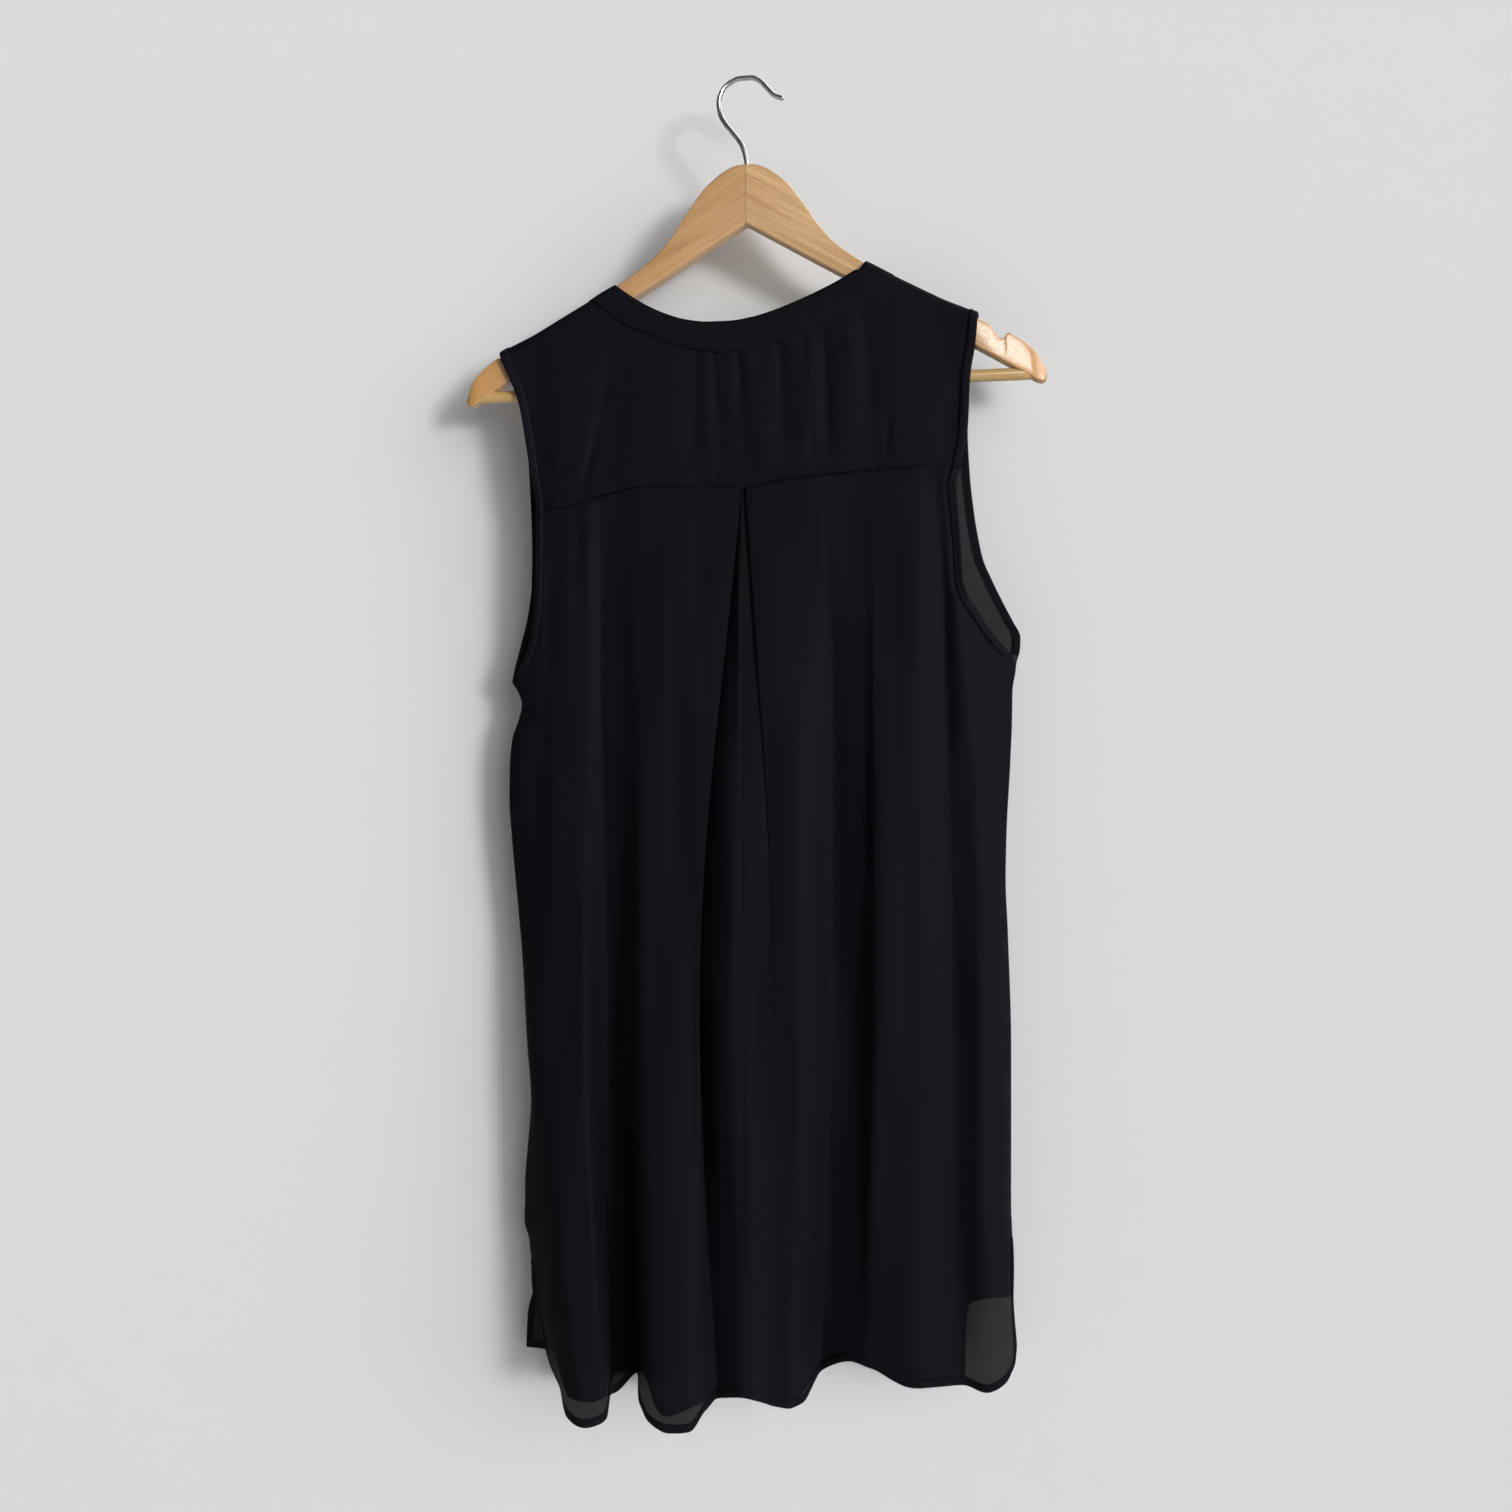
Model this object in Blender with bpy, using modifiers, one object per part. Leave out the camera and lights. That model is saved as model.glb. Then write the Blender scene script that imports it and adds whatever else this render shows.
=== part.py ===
"""Sleeveless long blouse of sheer black crepe, hung by its shoulders on a wooden hanger.

Metres, +Z up. The origin is the seat of the hanger's hook, the inner top of its bend. The back of
the blouse faces -Y, its front faces +Y and its wearer's right is +X. Every table and size below is
in millimetres, and MM turns them into metres where a mesh is made.
"""
import math

import bmesh
import bpy
import numpy as np

MM = 0.001
COLLECTION = "blouse_on_hanger"
CUTTERS = "cutters"

# ---------------------------------------------------------------- driving sizes, millimetres
WALL = 1.2              # cloth wall
BINDING_WALL = 1.0      # wall of the armhole bindings
BINDING_WIDTH = 7.5
SEAM_GAP = 0.6          # two pieces along a seam
LAY_GAP = 0.55          # a piece that lies on another

WOOD_THICKNESS = 12.0
WOOD_ROUNDING = 2.0     # rounded edges of the arms
ARM_JOINT = 0.15        # half of the gap at the hanger's glued centre
SHOULDER_SLOPE = 0.539  # fall of the arm's straight top edge
STRAIGHT_FROM = 100.0   # half width where that straight edge starts
BAR_RADIUS = 4.5
BAR_HEIGHT = -231.5
BAR_HALF = 207.0
BORE_CLEARANCE = 0.3
WIRE_RADIUS = 1.75
SHANK_FOOT = -85.0      # foot of the hook's shank, inside the wood

FOLD_RADIUS = 8.8       # cloth going over the arm
TIP_EXTRA = 2.0         # wider turn at the armholes, over the binding
TIP_REACH = 30.0
ARC_DROP = 5.7          # centre of the turn below the wood's top edge
NECK_HALF = 90.0        # half width between the places where the cloth rests on the wood
BUST = -375.0           # height where the front's folds begin
WAIST = -690.0
WAIST_SHARE = 0.55      # waist as a share of the back panel's length
EDGE_STEP = 4.5         # least distance between a panel's edge and the fold lines beside it
NECK_GAP = 0.9          # the neck seam's gap measured upright, at the back
V_GAP = 1.6             # and along the V
BINDING_INSET = 0.3     # binding's edge from the panel's
UNDERARM_CLEAR = 10.0   # the binding ends this far above the underarm

# Faceting: steps between fold lines, and shares of the way down at which rows lie
BACK_PARTS = 2
FRONT_PARTS = 2
YOKE_PARTS = 2
NECK_PARTS = 2
TOP_SHARES = (0.0, 0.014, 0.028, 0.042, 0.058, 0.078, 0.11, 0.3, 0.55, 0.78, 1.0)
BACK_SHARES = (0.0, 0.04, 0.08, 0.11, 0.13, 0.15, 0.17, 0.19, 0.21, 0.235, 0.26, 0.31, 0.38, 0.47,
               0.57, 0.67, 0.77, 0.84, 0.89, 0.93, 0.965, 1.0)
FRONT_SHARES = (0.0, 0.02, 0.04, 0.06, 0.08, 0.1, 0.12, 0.16, 0.2, 0.27, 0.37, 0.48, 0.59, 0.7, 0.8,
                0.87, 0.9, 0.93, 0.965, 1.0)

# ---------------------------------------------------------------- tables, millimetres
# Hanger arm, from the centre out along the top edge.
ARM_TOP = (  # x, z
    (0.0, -65.4), (6.0, -65.8), (15.0, -69.0), (31.0, -81.0), (43.0, -96.5), (55.0, -114.0),
    (67.0, -128.0), (85.0, -142.0), (STRAIGHT_FROM, -151.5))
ARM_TIP = (  # x, z: strap notch, round end and the start of the underside
    (181.6, -195.5), (186.5, -203.6), (190.8, -205.8), (193.3, -202.3), (200.0, -204.8),
    (208.0, -210.6), (215.0, -217.6), (220.0, -226.0), (222.3, -232.5), (220.5, -238.0),
    (215.0, -237.0))
ARM_APEX = (0.0, -110.1)

HOOK_PATH = (  # x, z: centre line of the wire, from the shank up and over
    (0.0, SHANK_FOOT), (0.0, -66.0), (-1.6, -56.0), (-4.2, -48.6), (-10.3, -40.0), (-16.0, -32.7),
    (-20.3, -25.0), (-21.8, -15.6), (-19.6, -7.6), (-13.6, -1.4), (-5.2, 1.6), (3.0, 1.5),
    (10.0, -1.6), (16.0, -8.0), (21.0, -13.3), (27.0, -16.0))

YOKE_SEAM = (  # x, y, z: seam between yoke and back panel
    (-163.0, -9.0, -322.5), (-143.0, -13.0, -321.0), (-121.0, -13.0, -316.5), (-104.0, -12.0, -311.0),
    (-83.0, -13.5, -307.5), (-57.0, -14.0, -307.5), (-29.0, -14.0, -307.5), (0.0, -14.0, -310.0),
    (27.0, -14.0, -305.5), (54.0, -13.5, -303.0), (93.0, -12.0, -300.0), (123.0, -12.5, -299.0),
    (160.0, -9.0, -299.5))

BACK_FOLDS = (  # name, x at seam, waist and hem, tuck behind the seam, y at waist and hem, z at hem
    ("side_turn_left", -152, -167, -124, 0, -15, -54, -997),
    ("crest_1", -134, -140, -109, 0, -36, -65, -998),
    ("crest_1_shoulder", -117, -108, -93, 0, -33, -58, -989),
    ("trough_1_left", -107, -104, -104, 2, -14, -4, -985),
    ("trough_1_right", -89, -84, -84, 2, -8, 1, -983),
    ("crest_2_wall", -78, -71, -66, 0, -30, -48, -987),
    ("crest_2", -48, -46, -40, 0, -39, -64, -998),
    ("pleat_edge_left", -2.0, -29, -24, 0, -36, -39, -989),
    ("pleat_inner_left", -5.0, -24, -18, 3.2, -30, -27, -988),
    ("pleat_centre", -0.5, 1, -3, 4.2, -26, -18, -987),
    ("pleat_inner_right", 4.5, 20, 13, 3.2, -29, -24, -987),
    ("pleat_edge_right", 2.0, 27, 24, 0, -33, -32, -988),
    ("crest_3", 35, 46, 36, 0, -36, -37, -987),
    ("crest_3_shoulder", 57, 62, 50, 0, -30, -30, -983),
    ("trough_3_left", 76, 78, 61, 1.5, -17, -4, -972),
    ("trough_3_right", 96, 99, 83, 1.5, -12, 4, -966),
    ("crest_4_wall", 105, 109, 105, 0, -24, -13, -969),
    ("crest_4", 124, 129, 128, 0, -27, -21, -970),
    ("crease_4", 141, 155, 161, 1.5, -14, -12, -967),
    ("crest_5", 147, 176, 178, 0, -20, -22, -969),
    ("side_turn_right", 152, 189, 192, 0, -13, -17, -963))
BACK_EDGE_HEM = (-992.0, -952.0)    # where the left and right edges of the back end

FRONT_FOLDS = (  # name, x at bust, waist and hem, y at bust, waist and hem, z at hem
    ("side_turn_left", -160, -173, -164, 10, 9, 9, -977),
    ("wall_1", -142, -155, -132, 10, 6, -6, -991),
    ("crest_1", -120, -138, -117, 10, -4, -22, -1003),
    ("shoulder_1", -104, -112, -101, 11, 5, 8, -1002),
    ("trough_1", -86, -92, -84, 13, 15, 22, -992),
    ("crest_2", -50, -52, -52, 12, -8, -32, -1000),
    ("middle", -5, -4, -8, 12, 8, 8, -990),
    ("crest_3", 40, 38, 32, 12, -4, -5, -985),
    ("trough_3", 92, 90, 80, 13, 16, 24, -966),
    ("crest_4", 124, 126, 120, 12, 4, 10, -964),
    ("side_turn_right", 152, 174, 155, 11, 8, 14, -969))
FRONT_EDGE_HEM = (-973.0, -973.0)
FRONT_TOP = (  # x at the bust line and at the top of the same column
    (-160, -160), (-142, -138), (-131, -123.8), (-120, -122.2), (-112, -120), (-104, -117),
    (-95, -110), (-86, -100), (-68, -80), (-5, -5), (17, 30), (40, 68), (66, 98), (92, 106.3),
    (108, 109), (124, 110.6), (138, 114), (152, 143))

# Outer edges of the panels, from the shoulder down.
BACK_ARMHOLE_LEFT = (  # z, x, y
    (-200, -193, -7.7), (-214, -187, -8), (-236, -178, -8), (-267, -172, -8), (-298, -167, -9),
    (-322, -163, -9), (-370, -163, -10), (-393, -164, -10), (-421, -168, -8), (-438, -175, -5))
BACK_ARMHOLE_RIGHT = (
    (-187, 172.5, -7.7), (-211, 170.5, -8), (-233, 167, -8), (-273, 165, -8), (-300, 160, -9),
    (-312, 157, -10), (-334, 158.5, -11), (-360, 160.5, -12), (-380, 161.5, -12), (-393, 165, -11),
    (-406, 173, -9), (-424, 185, -5), (-434, 193.5, -2))
FRONT_ARMHOLE_LEFT = (
    (-200, -193, 7.7), (-228, -185, 8), (-264, -177, 8), (-295, -174.5, 9), (-354, -172.5, 11),
    (-379, -173, 10), (-403, -175.5, 8), (-427, -180.5, 5), (-446, -184.5, 2))
FRONT_ARMHOLE_RIGHT = (
    (-187, 172.5, 7.7), (-229, 166.5, 8), (-269, 164.5, 8), (-301, 166, 9), (-326, 168.6, 11),
    (-348, 172, 13), (-366, 176, 14), (-381, 182.5, 12), (-397, 190, 9), (-412, 197.5, 5),
    (-424, 201.5, 2), (-434, 200, 1.2))
SIDE_LEFT = (  # z, x: side seam from the underarm to the vent
    (-453, -185.5), (-461, -180.5), (-471, -177.5), (-483, -181), (-498, -189), (-518, -194),
    (-540, -195), (-584, -192), (-623, -188), (-670, -184), (-732, -181), (-778, -177),
    (-841, -178.5), (-872, -178.5), (-887, -174.5), (-906, -170.5), (-922, -169.5))
SIDE_RIGHT = (
    (-444, 197), (-463, 195.7), (-485, 195.7), (-521, 194), (-565, 191.7), (-602, 190.6),
    (-638, 192), (-726, 194), (-836, 195), (-887, 197), (-907, 197))
BACK_VENT_LEFT = (  # z, x, y
    (-931, -164, -6), (-944, -159, -8), (-962, -154.5, -12), (-975, -147.5, -18),
    (-984, -137, -30), (-992, -131, -42))
BACK_VENT_RIGHT = ((-923, 198.5, -3), (-940, 200, -6), (-952, 198.5, -9))
FRONT_VENT_LEFT = ((-944, -174.5, 6), (-973, -176.5, 8))
FRONT_VENT_RIGHT = (
    (-909, 188, 2), (-912, 176, 6), (-919, 165, 10), (-946, 163, 14), (-973, 162.5, 16))

YOKE_CREASES = (  # name, x at the top and at the yoke seam, dent (+ is a trough)
    ("shoulder_left", -160, -152, 0.0),
    ("neck_corner_left", -124, -138, 0.0),
    ("neck_turn_left_high", -122, -135, 0.0),
    ("neck_turn_left_middle", -119, -131, 0.2),
    ("neck_turn_left_low", -115, -127, 0.6),
    ("diagonal_crease", -94, -118, 2.6),
    ("crest_a", -66, -80, -1.6),
    ("crease_a", -37, -37, 2.0),
    ("crest_b", -28, -28, -0.8),
    ("crease_b", -20, -19, 1.4),
    ("crest_c", -11, -10, -1.2),
    ("crease_c", -3, -1, 1.4),
    ("crest_d", 14, 13, -1.8),
    ("crease_d", 29, 30, 2.2),
    ("crest_e", 46, 47, -1.4),
    ("crease_e", 62, 62, 2.8),
    ("crest_f", 77, 79, -1.6),
    ("crease_f", 92, 95, 2.2),
    ("neck_turn_right_low", 105, 103, 0.6),
    ("neck_turn_right_middle", 108, 107, 0.2),
    ("neck_turn_right_high", 110.3, 110, 0.0),
    ("neck_corner_right", 112, 113, 0.0),
    ("shoulder_right", 141, 139, 0.0))

NECK_BACK = (  # inner x, z and outer x, z of the neckband between the shoulders
    (-89.0, -160.5, -103.5, -176.0), (-79.9, -166.5, -92.0, -183.0), (-61.8, -175.8, -70.0, -194.0),
    (-44.5, -181.6, -50.0, -201.8), (-28.4, -184.0, -31.0, -206.3), (-11.6, -184.2, -11.6, -208.3),
    (5.2, -182.2, 7.5, -206.6), (21.4, -178.1, 27.0, -202.0), (40.9, -171.2, 48.0, -195.3),
    (56.8, -164.6, 66.0, -188.3), (71.5, -157.6, 84.0, -179.5), (83.0, -151.0, 98.5, -169.5))
NECK_TURN = (   # inner and outer x of the band at the turn's end and on the ridge
    ((-96.5, -115.5), (-102.5, -123.0)),
    ((86.0, 105.5), (91.5, 111.0)))
NECK_FRONT = (  # the same four columns as NECK_BACK, down to the point of the V and up again
    (-88.0, -169.0, -108.0, -178.0), (-68.0, -203.0, -88.0, -214.3), (-38.0, -257.0, -58.0, -268.8),
    (-5.0, -319.0, -5.0, -365.0),
    (27.0, -256.3, 47.0, -268.1), (58.0, -199.0, 78.0, -210.3), (78.0, -163.0, 98.0, -173.0))



# ---------------------------------------------------------------- curves
def smooth(knots, values, at):
    """Monotone cubic through values at rising knots: spans are Hermite cubics, and a knot's slope
    is the harmonic mean of the chords beside it, or zero where they turn back."""
    knots = np.asarray(knots, float)
    values = np.asarray(values, float)
    flat = values.reshape(len(knots), -1)
    at = np.asarray(at, float)
    place = np.clip(at.ravel(), knots[0], knots[-1])
    step = np.diff(knots)[:, None]
    chord = np.diff(flat, axis=0) / step
    slope = np.vstack([chord[:1], np.zeros_like(flat[1:-1]), chord[-1:]])
    before, after = chord[:-1], chord[1:]
    same_way = before * after > 0
    weight_before = 2 * step[1:] + step[:-1]
    weight_after = step[1:] + 2 * step[:-1]
    safe_before = np.where(same_way, before, 1.0)
    safe_after = np.where(same_way, after, 1.0)
    mean = (weight_before + weight_after) / (weight_before / safe_before + weight_after / safe_after)
    slope[1:-1] = np.where(same_way, mean, 0.0)
    span = np.clip(np.searchsorted(knots, place, side="right") - 1, 0, len(knots) - 2)
    width = step[span]
    s = ((place - knots[span]) / np.diff(knots)[span])[:, None]
    result = (flat[span] * (1 + 2 * s) * (1 - s) ** 2 + width * slope[span] * s * (1 - s) ** 2
              + flat[span + 1] * s ** 2 * (3 - 2 * s) + width * slope[span + 1] * s ** 2 * (s - 1))
    return result.reshape(at.shape + values.shape[1:])


def ease(value):
    """Smooth step from 0 to 1."""
    value = np.clip(value, 0.0, 1.0)
    return value * value * (3 - 2 * value)


def column(table, index):
    return np.array([row[index] for row in table], float)


# ---------------------------------------------------------------- the shoulder line
def wood_top(x):
    """Height of the arm's top edge: the neck's curve, then a straight slope."""
    distance = np.abs(x)
    curved = smooth(column(ARM_TOP, 0), column(ARM_TOP, 1), distance)
    straight = ARM_TOP[-1][1] - SHOULDER_SLOPE * (distance - STRAIGHT_FROM)
    return np.where(distance < STRAIGHT_FROM, curved, straight)


def turn_radius(x):
    """Radius of the cloth's turn over the arm, larger next to the armholes."""
    to_left_tip = x - BACK_ARMHOLE_LEFT[0][1]
    to_right_tip = BACK_ARMHOLE_RIGHT[0][1] - x
    nearest = np.minimum(to_left_tip, to_right_tip)
    return FOLD_RADIUS + TIP_EXTRA * ease(1 - nearest / TIP_REACH)


def turn_end(x):
    """Height where the cloth leaves the shoulder's turn. Between the shoulders it stays level."""
    return wood_top(np.maximum(np.abs(x), NECK_HALF)) - ARC_DROP


def hanging_depth(x, z, side):
    """y of the cloth at x and z, side -1 for the back and +1 for the front: round the turn, then
    straight to the yoke seam or the bust line."""
    if side < 0:
        low = smooth(column(YOKE_SEAM, 0), np.array(YOKE_SEAM)[:, 1:], x)
        low_y, low_z = low[..., 0], low[..., 1]
    else:
        low_y = smooth(column(FRONT_FOLDS, 1), column(FRONT_FOLDS, 4), x)
        low_z = BUST
    radius = turn_radius(x)
    start = turn_end(x)
    share = np.clip((start - z) / (start - low_z), 0.0, 1.0)
    straight = side * radius + (low_y - side * radius) * share
    turn = side * np.sqrt(np.maximum(radius ** 2 - (z - start) ** 2, 0.0))
    return np.where(z > start, turn, straight)


# ---------------------------------------------------------------- edges and panels
def edge_table(armhole, side, vent, seam_y):
    """One outline (z, x, y) from armhole, side seam and vent."""
    seam = [(z, x, seam_y) for z, x in side]
    return np.array(list(armhole) + seam + list(vent), float)


def edge_at(outline, z):
    """x and y of a panel's edge at height z."""
    return smooth(-outline[:, 0], outline[:, 1:], -z)


HALF_GAP = SEAM_GAP / 2
SIDE_HALF = WALL / 2 + HALF_GAP     # side seams: the two walls lie flat against each other
BACK_LEFT = edge_table(BACK_ARMHOLE_LEFT, SIDE_LEFT, BACK_VENT_LEFT, -SIDE_HALF)
BACK_RIGHT = edge_table(BACK_ARMHOLE_RIGHT, SIDE_RIGHT, BACK_VENT_RIGHT, -SIDE_HALF)
FRONT_LEFT = edge_table(FRONT_ARMHOLE_LEFT, SIDE_LEFT, FRONT_VENT_LEFT, SIDE_HALF)
FRONT_RIGHT = edge_table(FRONT_ARMHOLE_RIGHT, SIDE_RIGHT, FRONT_VENT_RIGHT, SIDE_HALF)


def across(lines, u):
    """Surface through fold lines: lines is (folds, points along, values), u runs 0..1 over the
    folds. Gives (points along, len(u), values)."""
    knots = np.linspace(0.0, 1.0, len(lines))
    return np.swapaxes(smooth(knots, lines, u), 0, 1)


def between_edges(lines, left, right):
    """Fold lines with the panel's two edges put round them. Each line keeps at least its number of
    EDGE_STEPs from either edge."""
    lines = np.array(lines)
    number = np.arange(1, len(lines) + 1)[:, None] * EDGE_STEP
    lines[..., 0] = np.clip(lines[..., 0], left[:, 0] + number, right[:, 0] - number[::-1])
    return np.concatenate([left[None], lines, right[None]])


def back_grid(t, u):
    """Back panel: t is the share of the way from yoke seam to hem, u runs left to right."""
    t = np.asarray(t, float)
    seam = np.array(YOKE_SEAM)
    lines = []
    for name, x_seam, x_waist, x_hem, tuck, y_waist, y_hem, z_hem in BACK_FOLDS:
        y_seam, z_seam = smooth(seam[:, 0], seam[:, 1:], x_seam)
        z_seam = z_seam - HALF_GAP
        xy = smooth((0, WAIST_SHARE, 1),
                    ((x_seam, y_seam + tuck), (x_waist, y_waist), (x_hem, y_hem)), t)
        lines.append(np.column_stack([xy, z_seam + (z_hem - z_seam) * t]))
    edges = []
    for outline, end in ((BACK_LEFT, 0), (BACK_RIGHT, -1)):
        z_seam = seam[end, 2] - HALF_GAP
        z = z_seam + (BACK_EDGE_HEM[end] - z_seam) * t
        edges.append(np.column_stack([edge_at(outline, z), z]))
    return across(between_edges(lines, *edges), u)


def front_lower_grid(t, u):
    """Front panel below the bust line: t is the share of the way to the hem."""
    t = np.asarray(t, float)
    lines = []
    for name, x_bust, x_waist, x_hem, y_bust, y_waist, y_hem, z_hem in FRONT_FOLDS:
        z = BUST + (z_hem - BUST) * t
        xy = smooth((-BUST, -WAIST, -z_hem),
                    ((x_bust, y_bust), (x_waist, y_waist), (x_hem, y_hem)), -z)
        lines.append(np.column_stack([xy, z]))
    edges = []
    for outline, end in ((FRONT_LEFT, 0), (FRONT_RIGHT, -1)):
        z = BUST + (FRONT_EDGE_HEM[end] - BUST) * t
        edges.append(np.column_stack([edge_at(outline, z), z]))
    return across(between_edges(lines, *edges), u)


def hanging_grid(share, x_top, x_low, z_low, z_neck, side, outlines, edge_share):
    """Cloth from the shoulders and the neck down to a level: share is the way down, measured
    round the turn over the arm. A column over a shoulder starts at the seam on the ridge, one
    between the shoulders at z_neck. The edge columns keep to the outlines."""
    share = np.asarray(share, float)[:, None]
    x = x_top + (x_low - x_top) * share
    radius = turn_radius(x)
    quarter = radius * math.pi / 2
    above = (z_neck - turn_end(x_top)) / turn_radius(x_top)
    start = radius * np.arccos(np.clip(above, 0.0, 1.0)) - radius * np.minimum(above, 0.0)
    over = (x_top <= NECK_TURN[0][1][1]) | (x_top >= NECK_TURN[1][1][1])
    start = np.where(over, HALF_GAP, start)
    s = start + (quarter + turn_end(x) - z_low - start) * share
    z = turn_end(x) + radius * np.cos(np.minimum(s / radius, math.pi / 2)) - np.maximum(s - quarter, 0)
    for outline, weight, end in zip(outlines, edge_share, (0, -1)):
        offset = edge_at(outline, z[:, end])[:, 0] - x[:, end]
        x = x + offset[:, None] * weight
    return np.stack([x, hanging_depth(x, z, side), z], axis=-1)


def edge_weights(u, folds):
    """How far each column follows the left and the right outline."""
    return np.clip(1 - u * (folds - 1), 0, 1), np.clip(1 - (1 - u) * (folds - 1), 0, 1)


def turn_rows(end):
    """Rows of the neckband over one shoulder, from the turn's end up to the ridge."""
    (inner_end, outer_end), (inner_ridge, outer_ridge) = NECK_TURN[end]
    rows = []
    for angle in np.radians((90.0, 67.5, 45.0, 22.5, 0.0)):
        row = []
        for x_end, x_ridge in ((inner_end, inner_ridge), (outer_end, outer_ridge)):
            x = x_end + (x_ridge - x_end) * math.cos(angle)
            row += [x, float(turn_end(x) + turn_radius(x) * math.cos(angle))]
        rows.append(row)
    return rows


def band_rows(rows, parts, rounded):
    """Inner x, z and outer x, z of the neckband from the left ridge to the right one: the table's
    rows with parts steps between each two, and the turns over the shoulders."""
    index = np.arange(len(rows))
    fine = np.linspace(0, len(rows) - 1, (len(rows) - 1) * parts + 1)
    rows = np.array(rows, float)
    middle = smooth(index, rows, fine) if rounded else np.column_stack(
        [np.interp(fine, index, rows[:, k]) for k in range(4)])
    return np.vstack([turn_rows(0)[::-1], middle, turn_rows(1)])


def below_neckband(x, rows, gap):
    """Height of a panel's top at x: the gap below the neckband's outer edge. Over the shoulder
    the gap is measured round the turn."""
    z = np.interp(x, rows[:, 2], rows[:, 3])
    rise = np.clip((z - turn_end(x)) / turn_radius(x), 0.0, 0.98)
    return z - gap * np.sqrt(1 - rise ** 2)


def yoke_grid(share, u):
    """Yoke: from the ridge, or the back neck, down to the yoke seam."""
    ends = ((BACK_ARMHOLE_LEFT[0][1], YOKE_SEAM[0][0], 0.0),
            (BACK_ARMHOLE_RIGHT[0][1], YOKE_SEAM[-1][0], 0.0))
    rows = np.array([ends[0]] + [row[1:] for row in YOKE_CREASES] + [ends[1]], float)
    x_top, x_low, dent = smooth(np.linspace(0, 1, len(rows)), rows, u).T
    seam = np.array(YOKE_SEAM)
    z_low = smooth(seam[:, 0], seam[:, 2], x_low) + HALF_GAP
    z_neck = below_neckband(x_top, band_rows(NECK_BACK, NECK_PARTS, True), NECK_GAP)
    grid = hanging_grid(share, x_top, x_low, z_low, z_neck, -1, (BACK_LEFT, BACK_RIGHT),
                        edge_weights(u, len(rows)))
    way = np.asarray(share, float)[:, None]
    grid[..., 1] += dent * 4 * way * (1 - way)
    return grid


def front_grid(share, t, u):
    """Front panel: share is the way from its top to the bust line, t the way on to the hem."""
    below = front_lower_grid(t, u)
    x_low = below[0, :, 0]
    weights = edge_weights(u, len(FRONT_FOLDS) + 2)
    tips = (FRONT_ARMHOLE_LEFT[0][1], FRONT_ARMHOLE_RIGHT[0][1])
    x_top = np.interp(x_low, column(FRONT_TOP, 0), column(FRONT_TOP, 1))
    x_top = x_top + (tips[0] - x_top[0]) * weights[0] + (tips[1] - x_top[-1]) * weights[1]
    z_neck = below_neckband(x_top, band_rows(NECK_FRONT, NECK_PARTS, False), V_GAP)
    above = hanging_grid(share, x_top, x_low, BUST, z_neck, 1, (FRONT_LEFT, FRONT_RIGHT), weights)
    return np.concatenate([above, below[1:]])


# ---------------------------------------------------------------- neckband and bindings
def neckband_grid():
    """The band all the way round, one row of inner, middle and outer point a station: along the
    back neck to the wearer's right, over the shoulder and back along the V."""
    stations = []
    for rows, side in ((band_rows(NECK_BACK, NECK_PARTS, True), -1),
                       (band_rows(NECK_FRONT, NECK_PARTS, False)[::-1], 1)):
        inner = np.column_stack([rows[:, 0], hanging_depth(rows[:, 0], rows[:, 1], side), rows[:, 1]])
        outer = np.column_stack([rows[:, 2], hanging_depth(rows[:, 2], rows[:, 3], side), rows[:, 3]])
        middle = (inner + outer) / 2
        middle[:, 1] = hanging_depth(middle[:, 0], middle[:, 2], side)
        stations.append(np.stack([inner, middle, outer], axis=1)[1:])
    return np.concatenate(stations)


def edge_strip(grid, from_right, interior, lift):
    """Strip that lies inside a panel along its edge: five points across, moved lift towards the
    garment's inside along the normal. interior is +1 where that is +y."""
    if from_right:
        grid = grid[:, ::-1]
    strip = []
    for row in grid:
        run = np.concatenate([[0.0], np.cumsum(np.linalg.norm(np.diff(row, axis=0), axis=1))])
        places = BINDING_INSET + np.linspace(0.0, BINDING_WIDTH, 5)
        strip.append(np.column_stack([np.interp(places, run, row[:, k]) for k in range(3)]))
    strip = np.array(strip)
    down, inward = np.gradient(strip, axis=(0, 1))
    normal = np.cross(inward, down) * interior * (-1 if from_right else 1)
    return strip + normal / np.linalg.norm(normal, axis=2, keepdims=True) * lift


def binding_grid(from_right):
    """Armhole binding: up the front edge, over the shoulder and down the back edge."""
    underarm = (SIDE_RIGHT if from_right else SIDE_LEFT)[0][0] + UNDERARM_CLEAR
    end = -1 if from_right else 0
    lift = WALL / 2 + LAY_GAP + BINDING_WALL / 2

    def above_underarm(grid):
        return grid[grid[:, end, 2] > underarm]

    front = above_underarm(front_grid(TOP_SHARES, FRONT_SHARES, steps(FRONT_FOLDS, FRONT_PARTS)))
    yoke = yoke_grid(TOP_SHARES, steps(YOKE_CREASES, YOKE_PARTS))
    back = above_underarm(back_grid(BACK_SHARES, steps(BACK_FOLDS, BACK_PARTS)))
    return np.concatenate([edge_strip(front, from_right, -1, lift)[::-1],
                           edge_strip(yoke, from_right, 1, lift)[1:],
                           edge_strip(back, from_right, 1, lift)[1:]])


# ---------------------------------------------------------------- meshes
def steps(folds, parts):
    """Places across a panel: parts steps between each two of its fold lines and edges."""
    return np.linspace(0.0, 1.0, (len(folds) + 1) * parts + 1)


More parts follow.
